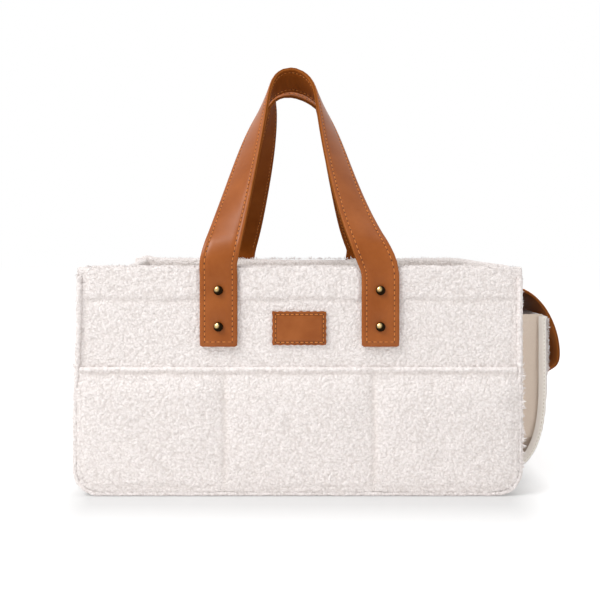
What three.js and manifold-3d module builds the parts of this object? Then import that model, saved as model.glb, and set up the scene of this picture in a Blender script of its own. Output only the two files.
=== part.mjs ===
// Open-topped fabric caddy: fleece panels over stiff inserts, two leather handles, outer pockets, dividers.
// Millimetres. +X to the right, +Y to the back, +Z up. Origin: middle of the underside.
import * as THREE from 'three';
import { mergeVertices } from 'three/addons/utils/BufferGeometryUtils.js';
import Module from 'manifold-3d';

const wasm = await Module();
wasm.setup();

// Clearances and curve steps
const FIT = 0.3;
const ARC_STEPS = 4;
const ROUND_SIDES = 12;

// Body and its layers
const BODY_WIDTH = 382;
const BODY_DEPTH = 250;
const BODY_HEIGHT = 197;
const CORNER_RADIUS = 22;
const SEAM_FLANGE = 6;
const LIP_THICKNESS = 3;
const LIP_STEP = 0.5;
const FLEECE = 4;
const STIFFENER = 3;
const BASE_BOARD = 4;
const LINING = 1.2;
const FACING = 3.5;
const FACING_DEPTH = 33;
const LEFT_RIM_SAG = 6;

// Long-side pockets
const POCKET_COUNT = 3;
const POCKET_DROP = 86.5;
const POCKET_MARGIN = 4;
const POCKET_CLOTH = 3;
const POCKET_EASE = 7;
const POCKET_COLUMNS = 10;
const POCKET_ROWS = 9;

// Patch on the front
const PATCH_WIDTH = 46;
const PATCH_HEIGHT = 29;
const PATCH_THICKNESS = 1.6;
const PATCH_DROP = 39;
const PATCH_CORNER = 1.5;

// Handles
const STRAP_WIDTH = 32;
const STRAP_THICKNESS = 3.5;
const HANDLE_SPACING = 138;
const TAB_DROP = 69;
const TAB_CORNER = 2;
const HINGE_DROP = 9;
const RIM_RUN = 2;
const RIM_BEND = 40;
const CROWN_LEFT_PULL = 1.54;
const CROWN_RIGHT_PULL = 1.1;
const FOOT_EASE = 0.35;
const TWIST_LAG = 0.1;
const TWIST_EASE = 0.08;
const LOOP_STEPS = 64;
const LOOP_COLUMNS = 4;

// Legs of the loops: where each meets its crown and foot, with its leans and pulls there
const FRONT_LOOP = {
  rise: 211.9,
  crownRise: 19.7,
  left: { top: -30.1, topLean: 0.38, topPull: 32.9, footRise: 4, footShift: 0.3, footLean: 0.237, footPull: 46.5 },
  right: { top: 16, topLean: 0.49, topPull: 24.4, footRise: 8.9, footShift: 6, footLean: 0.431, footPull: 62.3 },
};
const BACK_LOOP = {
  rise: 208.2,
  crownRise: 23.2,
  left: { top: -30.2, topLean: 0.02, topPull: 22.5, footRise: 17.4, footShift: 4.3, footLean: 0.33, footPull: 23.4 },
  right: { top: 21.1, topLean: 0.502, topPull: 29.4, footRise: 15.1, footShift: 0.4, footLean: 0.508, footPull: 26.7 },
};

// Rivets
const UPPER_RIVET_DROP = 21;
const LOWER_RIVET_DROP = 52;
const RIVET_RADIUS = 4;
const RIVET_DOME = 2;
const RIVET_RIM = 0.7;
const POST_RADIUS = 1.5;
const BACK_CAP_RADIUS = 4.5;
const BACK_CAP_HEIGHT = 1.8;
const SOCKET_DEPTH = 1;

// Pocket on the right end
const SIDE_POCKET_WIDTH = 178;
const SIDE_POCKET_REACH = 39;
const SIDE_POCKET_DROP = 47;
const SIDE_POCKET_FOOT = 9.5;
const SIDE_POCKET_TURN = 78;
const SIDE_POCKET_CORNER = 20;
const SIDE_POCKET_STEPS = 16;
const SIDE_POCKET_COLUMNS = 8;
const GUSSET_CLOTH = 1.5;
const GUSSET_INSET = 4;
const GUSSET_RISE = 1.5;
const GUSSET_FOOT = 7;
const PLEAT_HEIGHT = 20;
const PLEAT_DEPTH = 17;
const GUSSET_ROWS = 12;
const GUSSET_COLUMNS = 3;

// Leather flap over the end pocket
const FLAP_THICKNESS = 2.4;
const FLAP_WIDTH = 124;
const FLAP_TAPER = 2;
const FLAP_CORNER = 9;
const FLAP_ABOVE_POCKET = 24;
const FLAP_BULGE = 20;
const FLAP_BULGE_DROP = 38;
const FLAP_RUN = 9;
const FLAP_TIP_DROP = 66;
const FLAP_SHOULDER = 4;
const FLAP_STEPS = 24;
const FLAP_COLUMNS = 8;
const SEAM_STRIP_HEIGHT = 15;
const SEAM_STRIP_WIDTH = 120;

// Snap under the flap
const SNAP_RADIUS = 5;
const STUD_BASE = 1;
const STUD_RADIUS = 2;
const STUD_RISE = 1.2;
const SOCKET_PLATE = 1.1;
const SNAP_CLEARANCE = 0.9;

// Sliding dividers and their tapes
const DIVIDER_OFFSET = 58;
const DIVIDER_THICKNESS = 4;
const DIVIDER_DROP = 47;
const DIVIDER_CORNER = 14;
const DIVIDER_TAB_WIDTH = 40;
const DIVIDER_TAB_THICKNESS = 2.5;
const TAPE_DROP = 75;
const TAPE_HEIGHT = 25;
const TAPE_THICKNESS = 1;
const LOOP_TAPE_LENGTH = 250;

const FINISHES = {
  fleece: { color: 0xeee7e2, roughness: 0.97, metalness: 0 },
  leather: { color: 0xa5622f, roughness: 0.5, metalness: 0 },
  canvas: { color: 0xcdc3b2, roughness: 0.92, metalness: 0 },
  lining: { color: 0xe4dccf, roughness: 0.9, metalness: 0 },
  insert: { color: 0xf2f0ea, roughness: 0.85, metalness: 0 },
  board: { color: 0xb9a68a, roughness: 0.85, metalness: 0 },
  brass: { color: 0xb4904f, roughness: 0.28, metalness: 1 },
  tape: { color: 0xe8e3da, roughness: 0.95, metalness: 0 },
};

// Depths of the layers, measured inwards from an outer face
const STIFFENER_IN = FLEECE + FIT;
const LINING_IN = STIFFENER_IN + STIFFENER + FIT;
const FACING_IN = LINING_IN + LINING + FIT;
const CAVITY_IN = FACING_IN + FACING;

// Faces and heights that the pieces share
const FRONT = -BODY_DEPTH / 2;
const END = BODY_WIDTH / 2 - SEAM_FLANGE;
const BOARD_BOTTOM = FLEECE + FIT;
const LINING_BOTTOM = BOARD_BOTTOM + BASE_BOARD + FIT;
const FLOOR = LINING_BOTTOM + LINING;
const UNDER_CAP = BODY_HEIGHT - FACING - FIT;
const STRAP_BACK = FRONT - FIT;
const STRAP_FACE = STRAP_BACK - STRAP_THICKNESS;
const HINGE_HEIGHT = BODY_HEIGHT - HINGE_DROP;

// Closed mesh as a solid for joining and cutting
function toSolid(geometry) {
  const bare = geometry.clone();
  bare.deleteAttribute('normal');
  bare.deleteAttribute('uv');
  const merged = mergeVertices(bare);
  const vertProperties = new Float32Array(merged.attributes.position.array);
  const triVerts = new Uint32Array(merged.index.array);
  return new wasm.Manifold(new wasm.Mesh({ numProp: 3, vertProperties, triVerts }));
}

function toGeometry(solid) {
  const mesh = solid.getMesh();
  const geometry = new THREE.BufferGeometry();
  geometry.setAttribute('position', new THREE.BufferAttribute(mesh.vertProperties, 3));
  geometry.setIndex(new THREE.BufferAttribute(mesh.triVerts, 1));
  return geometry;
}

function join(first, ...others) {
  return toGeometry(others.reduce((solid, other) => solid.add(toSolid(other)), toSolid(first)));
}

function cut(first, ...tools) {
  return toGeometry(tools.reduce((solid, tool) => solid.subtract(toSolid(tool)), toSolid(first)));
}

// Block between two corners
function block(x0, x1, y0, y1, z0, z1) {
  const geometry = new THREE.BoxGeometry(x1 - x0, y1 - y0, z1 - z0);
  geometry.translate((x0 + x1) / 2, (y0 + y1) / 2, (z0 + z1) / 2);
  return geometry;
}

function extrude(shape, depth) {
  return new THREE.ExtrudeGeometry(shape, { depth, bevelEnabled: false, curveSegments: ARC_STEPS });
}

// Extrusion along Y of a section drawn in X and Z
function alongY(shape, y0, y1) {
  const geometry = extrude(shape, y1 - y0);
  geometry.rotateX(Math.PI / 2);
  geometry.translate(0, y1, 0);
  return geometry;
}

// Extrusion along X of a section drawn in Y and Z
function alongX(shape, x0, x1) {
  const geometry = extrude(shape, x1 - x0);
  geometry.applyMatrix4(new THREE.Matrix4().set(0, 0, 1, 0, 1, 0, 0, 0, 0, 1, 0, 0, 0, 0, 0, 1));
  geometry.translate(x0, 0, 0);
  return geometry;
}

// Closed sheet between two surfaces over the unit square; the first one faces along u cross v
function sheetBetween(outer, inner, columns, rows) {
  const points = [];
  for (const surface of [outer, inner]) {
    for (let row = 0; row <= rows; row += 1) {
      for (let column = 0; column <= columns; column += 1) {
        points.push(...surface(column / columns, row / rows).toArray());
      }
    }
  }
  const half = (columns + 1) * (rows + 1);
  const out = (column, row) => row * (columns + 1) + column;
  const back = (column, row) => half + out(column, row);
  const index = [];
  const quad = (a, b, c, d) => index.push(a, b, c, a, c, d);
  for (let row = 0; row < rows; row += 1) {
    for (let column = 0; column < columns; column += 1) {
      quad(out(column, row), out(column + 1, row), out(column + 1, row + 1), out(column, row + 1));
      quad(back(column, row), back(column, row + 1), back(column + 1, row + 1), back(column + 1, row));
    }
    quad(back(0, row), out(0, row), out(0, row + 1), back(0, row + 1));
    quad(out(columns, row), back(columns, row), back(columns, row + 1), out(columns, row + 1));
  }
  for (let column = 0; column < columns; column += 1) {
    quad(back(column, 0), back(column + 1, 0), out(column + 1, 0), out(column, 0));
    quad(out(column, rows), out(column + 1, rows), back(column + 1, rows), back(column, rows));
  }
  const geometry = new THREE.BufferGeometry();
  geometry.setAttribute('position', new THREE.Float32BufferAttribute(points, 3));
  geometry.setIndex(index);
  return geometry;
}

// Solid of revolution about Y from points [radius, height]
function turned(profile) {
  return new THREE.LatheGeometry(profile.map(([radius, height]) => new THREE.Vector2(radius, height)), ROUND_SIDES);
}

function addPiece(group, name, geometry, finish) {
  const mesh = new THREE.Mesh(geometry, new THREE.MeshStandardMaterial(FINISHES[finish]));
  mesh.name = name;
  group.add(mesh);
}

// Upright panel with rounded bottom corners
function panelOutline(halfWidth, bottom, top, radius) {
  const shape = new THREE.Shape();
  shape.moveTo(-halfWidth, top);
  shape.lineTo(-halfWidth, bottom + radius);
  shape.absarc(-halfWidth + radius, bottom + radius, radius, Math.PI, 1.5 * Math.PI);
  shape.absarc(halfWidth - radius, bottom + radius, radius, 1.5 * Math.PI, 2 * Math.PI);
  shape.lineTo(halfWidth, top);
  shape.closePath();
  return shape;
}

// Layer that runs down one end, under the floor and up the other end
function troughOutline(halfWidth, bottom, top, radius, thickness) {
  const inside = halfWidth - thickness;
  const turn = radius - thickness;
  const centre = halfWidth - radius;
  const shape = panelOutline(halfWidth, bottom, top, radius);
  shape.curves.pop();
  shape.currentPoint.set(halfWidth, top);
  shape.lineTo(inside, top);
  shape.lineTo(inside, bottom + radius);
  shape.absarc(centre, bottom + radius, turn, 0, -0.5 * Math.PI, true);
  shape.absarc(-centre, bottom + radius, turn, -0.5 * Math.PI, -Math.PI, true);
  shape.lineTo(-inside, top);
  shape.closePath();
  return shape;
}

// Rim line of an end wall: level, or sagging between the corners
const RIM_HALF = BODY_DEPTH / 2 - FLEECE - FIT - LIP_THICKNESS;

function rimHeight(sag, y) {
  return BODY_HEIGHT - sag * (1 - (y / RIM_HALF) ** 2);
}

// Region between two copies of the rim line, the lower and the upper offset from it
function rimBand(sag, halfLength, lower, upper) {
  const side = rimHeight(sag, halfLength);
  const middle = 2 * rimHeight(sag, 0) - side;
  const shape = new THREE.Shape();
  shape.moveTo(-halfLength, side + lower);
  shape.quadraticCurveTo(0, middle + lower, halfLength, side + lower);
  shape.lineTo(halfLength, side + upper);
  shape.quadraticCurveTo(0, middle + upper, -halfLength, side + upper);
  shape.closePath();
  return shape;
}

// Cutter that gives the left end of a layer its sagging top
function leftSagCutter(below) {
  return alongX(rimBand(LEFT_RIM_SAG, RIM_HALF, -below, BODY_HEIGHT), -BODY_WIDTH, 0);
}

// Outer face of the end wall at a height, following the rounded lower corner
function endWall(height) {
  const below = Math.max(CORNER_RADIUS - height, 0);
  return END - CORNER_RADIUS + Math.sqrt(CORNER_RADIUS ** 2 - below ** 2);
}

// Holes for the rivet posts through the layers of a long side
function rivetHoles(drops, y0, y1) {
  const holes = [];
  for (const side of [-1, 1]) {
    for (const drop of drops) {
      const hole = new THREE.CylinderGeometry(POST_RADIUS + FIT, POST_RADIUS + FIT, y1 - y0 + 2, ROUND_SIDES);
      hole.translate((side * HANDLE_SPACING) / 2, (y0 + y1) / 2, BODY_HEIGHT - drop);
      holes.push(hole);
    }
  }
  return holes;
}

const BOTH_RIVETS = [UPPER_RIVET_DROP, LOWER_RIVET_DROP];

// One layer of a long side, pierced by its rivets
function sidePanel(inset, bottom, top, radius, depth, thickness, drops) {
  const y0 = FRONT + depth;
  const panel = alongY(panelOutline(inset, bottom, top, radius), y0, y0 + thickness);
  return cut(panel, ...rivetHoles(drops, y0, y0 + thickness));
}

// Folded fleece edge over a long side: a cap on the rim and a leaf down the inside
function sideFacing() {
  const capWidth = END - STIFFENER_IN;
  const leafWidth = END - FACING_IN;
  const inside = FRONT + CAVITY_IN;
  const leafFace = FRONT + FACING_IN;
  const cap = block(-capWidth, capWidth, FRONT + STIFFENER_IN, inside, UNDER_CAP + FIT, BODY_HEIGHT);
  const leaf = block(-leafWidth, leafWidth, leafFace, inside, BODY_HEIGHT - FACING_DEPTH, BODY_HEIGHT);
  return cut(join(cap, leaf), ...rivetHoles([UPPER_RIVET_DROP], leafFace, inside));
}

// Sewn row of pockets: level with the panel at the seams and along the foot, eased out between them
function pocketStrip() {
  const foot = POCKET_MARGIN;
  const height = BODY_HEIGHT - POCKET_DROP - foot;
  const radius = CORNER_RADIUS - POCKET_MARGIN;
  const halfWidth = BODY_WIDTH / 2 - POCKET_MARGIN;
  const pitch = BODY_WIDTH / POCKET_COUNT;
  const point = (u, v, offset) => {
    const rise = height * v ** 1.5;
    const below = Math.max(radius - rise, 0);
    const edge = halfWidth - radius + Math.sqrt(radius ** 2 - below ** 2);
    const place = Math.min(Math.floor(u * POCKET_COUNT), POCKET_COUNT - 1);
    const across = u * POCKET_COUNT - place;
    const left = place === 0 ? -edge : pitch * place - BODY_WIDTH / 2;
    const right = place === POCKET_COUNT - 1 ? edge : pitch * (place + 1) - BODY_WIDTH / 2;
    const fullness = (1 - Math.abs(2 * across - 1) ** 4) * (1 - (1 - rise / height) ** 3);
    const y = FRONT - FIT - POCKET_EASE * fullness - offset;
    return new THREE.Vector3(left + (right - left) * across, y, foot + rise);
  };
  return sheetBetween(
    (u, v) => point(u, v, POCKET_CLOTH),
    (u, v) => point(u, v, 0),
    POCKET_COUNT * POCKET_COLUMNS,
    POCKET_ROWS,
  );
}

// Sewn end of a handle, lying on the panel up to the fold at the rim
function handleTab(side) {
  const halfStrap = STRAP_WIDTH / 2;
  const outline = panelOutline(halfStrap, BODY_HEIGHT - TAB_DROP, HINGE_HEIGHT, TAB_CORNER);
  const tab = alongY(outline, STRAP_FACE, STRAP_BACK);
  tab.translate((side * HANDLE_SPACING) / 2, 0, 0);
  return cut(tab, ...rivetHoles(BOTH_RIVETS, STRAP_FACE, STRAP_BACK));
}

// Place along a handle's bent surface: up past the rim, round the bend, then straight at the lean
function leanPlace(lean, v) {
  const bendFoot = BODY_HEIGHT + RIM_RUN;
  const turn = Math.min(Math.max(v / RIM_BEND, 0), lean);
  const before = Math.min(v, 0);
  const after = Math.max(v - RIM_BEND * lean, 0);
  const y = STRAP_BACK - STRAP_THICKNESS / 2 + RIM_BEND * (1 - Math.cos(turn)) + after * Math.sin(lean);
  const z = bendFoot + before + RIM_BEND * Math.sin(turn) + after * Math.cos(lean);
  return { y, z, turn };
}

// Lean at which the crown of a loop just stops short of the middle plane
function restingLean(rise) {
  let low = 0;
  let high = 0.45 * Math.PI;
  while (high - low > 1e-7) {
    const lean = (low + high) / 2;
    const edge = (STRAP_WIDTH / 2) * Math.cos(lean) + (STRAP_THICKNESS / 2) * Math.sin(lean);
    if (leanPlace(lean, rise).y + edge < -FIT) {
      low = lean;
    } else {
      high = lean;
    }
  }
  return low;
}

// Curve points of one leg, from its foot on the tab up to the pull into the crown
function legPoints(side, leg, shoulder, crownPull) {
  const foot = side * (HANDLE_SPACING / 2);
  const start = HINGE_HEIGHT + FIT - (BODY_HEIGHT + RIM_RUN);
  const bend = FOOT_EASE * (leg.footRise - start);
  const ankle = foot - side * leg.footShift;
  const at = (x, v) => new THREE.Vector2(x, v);
  return {
    foot: [at(foot, start), at(foot, start + bend)],
    ankle: [at(ankle + side * leg.footLean * bend, leg.footRise - bend), at(ankle, leg.footRise)],
    shin: at(ankle - side * leg.footLean * leg.footPull, leg.footRise + leg.footPull),
    top: [at(leg.top + side * leg.topLean * leg.topPull, shoulder - leg.topPull), at(leg.top, shoulder)],
    crown: at(leg.top - side * leg.topLean * crownPull, shoulder + crownPull),
  };
}

// Flat course of a handle: each foot leaves its tab upright, then a leg, and a crown between the legs
function loopCourse(loop) {
  const shoulder = loop.rise - loop.crownRise;
  const left = legPoints(-1, loop.left, shoulder, CROWN_LEFT_PULL * loop.crownRise);
  const right = legPoints(1, loop.right, shoulder, CROWN_RIGHT_PULL * loop.crownRise);
  const course = new THREE.CurvePath();
  const add = (...points) => course.add(new THREE.CubicBezierCurve(...points));
  add(...left.foot, ...left.ankle);
  add(left.ankle[1], left.shin, ...left.top);
  add(left.top[1], left.crown, right.crown, right.top[1]);
  add(right.top[1], right.top[0], right.shin, right.ankle[1]);
  add(right.ankle[1], right.ankle[0], right.foot[1], right.foot[0]);
  return course;
}

// Carrying loop: a strap that starts flat on the panel and turns edge-on towards its crown
function handleLoop(loop) {
  const lean = restingLean(loop.rise);
  const course = loopCourse(loop);
  const point = (u, v, offset) => {
    const flat = course.getPointAt(v);
    const heading = course.getTangentAt(v);
    const place = leanPlace(lean, flat.y);
    const sine = Math.sin(place.turn);
    const cosine = Math.cos(place.turn);
    const along = new THREE.Vector3(heading.x, heading.y * sine, heading.y * cosine).normalize();
    const facing = new THREE.Vector3(0, -cosine, sine);
    const outwards = new THREE.Vector3().crossVectors(facing, along);
    const climb = Math.PI * Math.min(Math.max(flat.y / loop.rise, 0), 1);
    const twist = 0.5 * climb - TWIST_LAG * Math.sin(climb) + TWIST_EASE * Math.sin(2 * climb);
    const normal = facing.multiplyScalar(Math.cos(twist)).addScaledVector(outwards, Math.sin(twist));
    const across = new THREE.Vector3().crossVectors(along, normal);
    return new THREE.Vector3(flat.x, place.y, place.z)
      .addScaledVector(across, (u - 0.5) * STRAP_WIDTH)
      .addScaledVector(normal, offset);
  };
  return sheetBetween(
    (u, v) => point(u, v, STRAP_THICKNESS / 2),
    (u, v) => point(u, v, -STRAP_THICKNESS / 2),
    LOOP_COLUMNS,
    LOOP_STEPS,
  );
}

// Domed rivet with its post, and the pressed cap that holds it inside
function addRivet(group, name, side, drop, innerFace) {
  const x = (side * HANDLE_SPACING) / 2;
  const z = BODY_HEIGHT - drop;
  const seat = STRAP_FACE - FIT;
  const backSeat = innerFace + FIT;
  const postLength = backSeat + SOCKET_DEPTH - FIT - seat;
  const head = turned([
    [0, -postLength],
    [POST_RADIUS, -postLength],
    [POST_RADIUS, 0],
    [RIVET_RADIUS, 0],
    [RIVET_RADIUS, RIVET_RIM],
    [0.82 * RIVET_RADIUS, RIVET_RIM + 0.62 * (RIVET_DOME - RIVET_RIM)],
    [0.45 * RIVET_RADIUS, RIVET_RIM + 0.93 * (RIVET_DOME - RIVET_RIM)],
    [0, RIVET_DOME],
  ]);
  head.rotateX(Math.PI);
  head.translate(x, seat, z);
  const cap = turned([
    [0, SOCKET_DEPTH],
    [POST_RADIUS + FIT, SOCKET_DEPTH],
    [POST_RADIUS + FIT, 0],
    [BACK_CAP_RADIUS, 0],
    [BACK_CAP_RADIUS, 0.5 * BACK_CAP_HEIGHT],
    [0.6 * BACK_CAP_RADIUS, BACK_CAP_HEIGHT],
    [0, BACK_CAP_HEIGHT],
  ]);
  cap.translate(x, backSeat, z);
  addPiece(group, `${name}_cap`, head, 'brass');
  addPiece(group, `${name}_back`, cap, 'brass');
}

// Everything on one long side; the back is the same side mirrored
function longSide(name, loop) {
  const side = new THREE.Group();
  const liningFace = FRONT + LINING_IN + LINING;
  const tapeTop = BODY_HEIGHT - TAPE_DROP;
  const tapeFace = liningFace + FIT;
  const halfTape = LOOP_TAPE_LENGTH / 2;
  const shell = sidePanel(BODY_WIDTH / 2, 0, BODY_HEIGHT, CORNER_RADIUS, 0, FLEECE, BOTH_RIVETS);
  const stiffener = sidePanel(
    END - STIFFENER_IN, BOARD_BOTTOM, UNDER_CAP, CORNER_RADIUS - STIFFENER_IN, STIFFENER_IN, STIFFENER, BOTH_RIVETS,
  );
  const lining = sidePanel(
    END - LINING_IN, LINING_BOTTOM, UNDER_CAP, CORNER_RADIUS - LINING_BOTTOM, LINING_IN, LINING, BOTH_RIVETS,
  );
  const tape = block(-halfTape, halfTape, tapeFace, tapeFace + TAPE_THICKNESS, tapeTop - TAPE_HEIGHT, tapeTop);
  addPiece(side, `${name}_shell`, shell, 'fleece');
  addPiece(side, `${name}_stiffener`, stiffener, 'insert');
  addPiece(side, `${name}_lining`, lining, 'lining');
  addPiece(side, `${name}_facing`, sideFacing(), 'fleece');
  addPiece(side, `${name}_pocket_strip`, pocketStrip(), 'fleece');
  addPiece(side, `${name}_loop_tape`, tape, 'tape');
  addPiece(side, `${name}_handle_loop`, handleLoop(loop), 'leather');
  for (const [hand, sign] of [['left', -1], ['right', 1]]) {
    addPiece(side, `${name}_tab_${hand}`, handleTab(sign), 'leather');
    addRivet(side, `${name}_rivet_upper_${hand}`, sign, UPPER_RIVET_DROP, FRONT + CAVITY_IN);
    addRivet(side, `${name}_rivet_lower_${hand}`, sign, LOWER_RIVET_DROP, liningFace);
  }
  return side;
}

// Fleece wrap of the ends and underside, with lips turned out behind the front and back panels
function wrapShell() {
  const halfLength = BODY_DEPTH / 2 - FLEECE - FIT;
  const wrap = alongY(troughOutline(END, 0, BODY_HEIGHT, CORNER_RADIUS, FLEECE), -halfLength, halfLength);
  const inset = FLEECE / 2;
  const lipOutline = panelOutline(BODY_WIDTH / 2 - LIP_STEP, 0, BODY_HEIGHT, CORNER_RADIUS);
  const clearing = panelOutline(END - inset, inset, 2 * BODY_HEIGHT, CORNER_RADIUS - inset);
  const hollow = alongY(clearing, -BODY_DEPTH, BODY_DEPTH);
  const frontLip = cut(alongY(lipOutline, -halfLength, -halfLength + LIP_THICKNESS), hollow);
  const backLip = cut(alongY(lipOutline, halfLength - LIP_THICKNESS, halfLength), hollow);
  return cut(join(wrap, frontLip, backLip), leftSagCutter(0));
}

function wrapLining() {
  const outline = troughOutline(
    END - LINING_IN, LINING_BOTTOM, UNDER_CAP, CORNER_RADIUS - LINING_BOTTOM, LINING,
  );
  const halfLength = BODY_DEPTH / 2 - FACING_IN;
  return cut(alongY(outline, -halfLength, halfLength), leftSagCutter(FACING + FIT));
}

function endStiffener() {
  const outside = END - STIFFENER_IN;
  const halfLength = BODY_DEPTH / 2 - LINING_IN;
  return block(outside - STIFFENER, outside, -halfLength, halfLength, CORNER_RADIUS, UNDER_CAP);
}

// Folded fleece edge over an end wall, following its rim line
function endFacing(sag) {
  const halfLength = BODY_DEPTH / 2 - CAVITY_IN - FIT;
  const cap = alongX(rimBand(sag, halfLength, -FACING, 0), END - CAVITY_IN, END - STIFFENER_IN);
  const leaf = alongX(rimBand(sag, halfLength, -FACING_DEPTH, 0), END - CAVITY_IN, END - FACING_IN);
  return join(cap, leaf);
}

// The same end piece on the left, turned half round about Z
function onTheLeft(geometry) {
  geometry.rotateZ(Math.PI);
  return geometry;
}

function bodyCore() {
  const core = new THREE.Group();
  const boardWidth = END - CORNER_RADIUS;
  const boardDepth = BODY_DEPTH / 2 - LINING_IN;
  const boardTop = BOARD_BOTTOM + BASE_BOARD;
  const board = block(-boardWidth, boardWidth, -boardDepth, boardDepth, BOARD_BOTTOM, boardTop);
  addPiece(core, 'wrap_shell', wrapShell(), 'fleece');
  addPiece(core, 'wrap_lining', wrapLining(), 'lining');
  addPiece(core, 'base_board', board, 'board');
  addPiece(core, 'right_stiffener', endStiffener(), 'insert');
  addPiece(core, 'left_stiffener', cut(onTheLeft(endStiffener()), leftSagCutter(FACING + FIT)), 'insert');
  addPiece(core, 'right_facing', endFacing(0), 'fleece');
  addPiece(core, 'left_facing', onTheLeft(endFacing(LEFT_RIM_SAG)), 'fleece');
  return core;
}

function frontPatch() {
  const half = PATCH_WIDTH / 2;
  const top = BODY_HEIGHT - PATCH_DROP;
  const bottom = top - PATCH_HEIGHT;
  const shape = new THREE.Shape();
  shape.moveTo(-half + PATCH_CORNER, bottom);
  shape.absarc(half - PATCH_CORNER, bottom + PATCH_CORNER, PATCH_CORNER, -0.5 * Math.PI, 0);
  shape.absarc(half - PATCH_CORNER, top - PATCH_CORNER, PATCH_CORNER, 0, 0.5 * Math.PI);
  shape.absarc(-half + PATCH_CORNER, top - PATCH_CORNER, PATCH_CORNER, 0.5 * Math.PI, Math.PI);
  shape.absarc(-half + PATCH_CORNER, bottom + PATCH_CORNER, PATCH_CORNER, Math.PI, 1.5 * Math.PI);
  return alongY(shape, FRONT - FIT - PATCH_THICKNESS, FRONT - FIT);
}

// Outer line of the end pocket in X and Z, from its mouth down and round to the foot of the wall
const POCKET_MOUTH = BODY_HEIGHT - SIDE_POCKET_DROP;
const POCKET_FACE = END + SIDE_POCKET_REACH;

function sidePocketLine() {
  const turnTop = SIDE_POCKET_FOOT + SIDE_POCKET_TURN;
  const footX = endWall(SIDE_POCKET_FOOT + FLEECE) + FIT;
  const at = (x, z) => new THREE.Vector2(x, z);
  const line = new THREE.CurvePath();
  line.add(new THREE.LineCurve(at(POCKET_FACE, POCKET_MOUTH), at(POCKET_FACE, turnTop)));
  line.add(new THREE.CubicBezierCurve(
    at(POCKET_FACE, turnTop),
    at(POCKET_FACE, turnTop - 0.62 * SIDE_POCKET_TURN),
    at(POCKET_FACE - 0.3 * SIDE_POCKET_REACH, SIDE_POCKET_FOOT),
    at(footX, SIDE_POCKET_FOOT),
  ));
  return line;
}

// Point on a line at a share of its length, moved outwards by an offset
function offsetPoint(line, share, offset) {
  const spot = line.getPointAt(share);
  const heading = line.getTangentAt(share);
  return new THREE.Vector2(spot.x - heading.y * offset, spot.y + heading.x * offset);
}

// Inner face of the faceted pocket panel at a height
function pocketInnerFace(line, height) {
  const ring = (step) => offsetPoint(line, step / SIDE_POCKET_STEPS, -FLEECE);
  let step = 1;
  while (step < SIDE_POCKET_STEPS && ring(step).y > height) {
    step += 1;
  }
  const above = ring(step - 1);
  const below = ring(step);
  return below.x + ((above.x - below.x) * (height - below.y)) / (above.y - below.y);
}

function sidePocketPanel(line) {
  const length = line.getLength();
  const point = (u, v, offset) => {
    const spot = offsetPoint(line, 1 - v, offset);
    const inwards = Math.max(SIDE_POCKET_CORNER - v * length, 0);
    const rounding = SIDE_POCKET_CORNER - Math.sqrt(SIDE_POCKET_CORNER ** 2 - inwards ** 2);
    const y = (2 * u - 1) * (SIDE_POCKET_WIDTH / 2 - rounding);
    return new THREE.Vector3(spot.x, y, spot.y);
  };
  return sheetBetween(
    (u, v) => point(u, v, 0),
    (u, v) => point(u, v, -FLEECE),
    SIDE_POCKET_COLUMNS,
    SIDE_POCKET_STEPS,
  );
}

// Canvas side of the end pocket, folded inwards in a pleat at its foot
function sidePocketGusset(line) {
  const foot = SIDE_POCKET_FOOT + FLEECE + GUSSET_FOOT;
  const height = POCKET_MOUTH + GUSSET_RISE - foot;
  const face = -(SIDE_POCKET_WIDTH / 2 - GUSSET_INSET);
  const point = (u, v, offset) => {
    const rise = height * v ** 1.6;
    const near = endWall(foot + rise) + FIT;
    const far = pocketInnerFace(line, foot + rise) - FIT;
    const fold = Math.max(1 - rise / PLEAT_HEIGHT, 0) ** 1.5 * PLEAT_DEPTH;
    return new THREE.Vector3(near + (far - near) * u, face + fold + offset, foot + rise);
  };
  return sheetBetween(
    (u, v) => point(u, v, 0),
    (u, v) => point(u, v, GUSSET_CLOTH),
    GUSSET_COLUMNS,
    GUSSET_ROWS,
  );
}

// Outer line of the flap in X and Z: out from the wall, over a full bulge and in to its tip
const FLAP_HINGE_X = END + FIT + FLAP_THICKNESS + FIT;
const FLAP_HINGE_Z = POCKET_MOUTH + FLAP_ABOVE_POCKET + FIT;
const SNAP_STACK = FIT + STUD_BASE + FIT + SOCKET_PLATE + FIT;

function flapLine() {
  const tipX = POCKET_FACE + SNAP_STACK + FLAP_THICKNESS;
  const tipZ = POCKET_MOUTH - FLAP_TIP_DROP;
  const bulgeX = POCKET_FACE + FLAP_BULGE;
  const bulgeZ = POCKET_MOUTH - FLAP_BULGE_DROP;
  const runTop = tipZ + FLAP_RUN;
  const at = (x, z) => new THREE.Vector2(x, z);
  const line = new THREE.CurvePath();
  line.add(new THREE.CubicBezierCurve(
    at(FLAP_HINGE_X, FLAP_HINGE_Z - FIT),
    at(POCKET_FACE, FLAP_HINGE_Z + FLAP_SHOULDER),
    at(bulgeX, bulgeZ + 0.45 * (FLAP_HINGE_Z - bulgeZ)),
    at(bulgeX, bulgeZ),
  ));
  line.add(new THREE.CubicBezierCurve(
    at(bulgeX, bulgeZ),
    at(bulgeX, bulgeZ - 0.75 * (bulgeZ - runTop)),
    at(tipX, runTop + 0.55 * (bulgeZ - runTop)),
    at(tipX, runTop),
  ));
  line.add(new THREE.LineCurve(at(tipX, runTop), at(tipX, tipZ)));
  return line;
}

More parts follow.
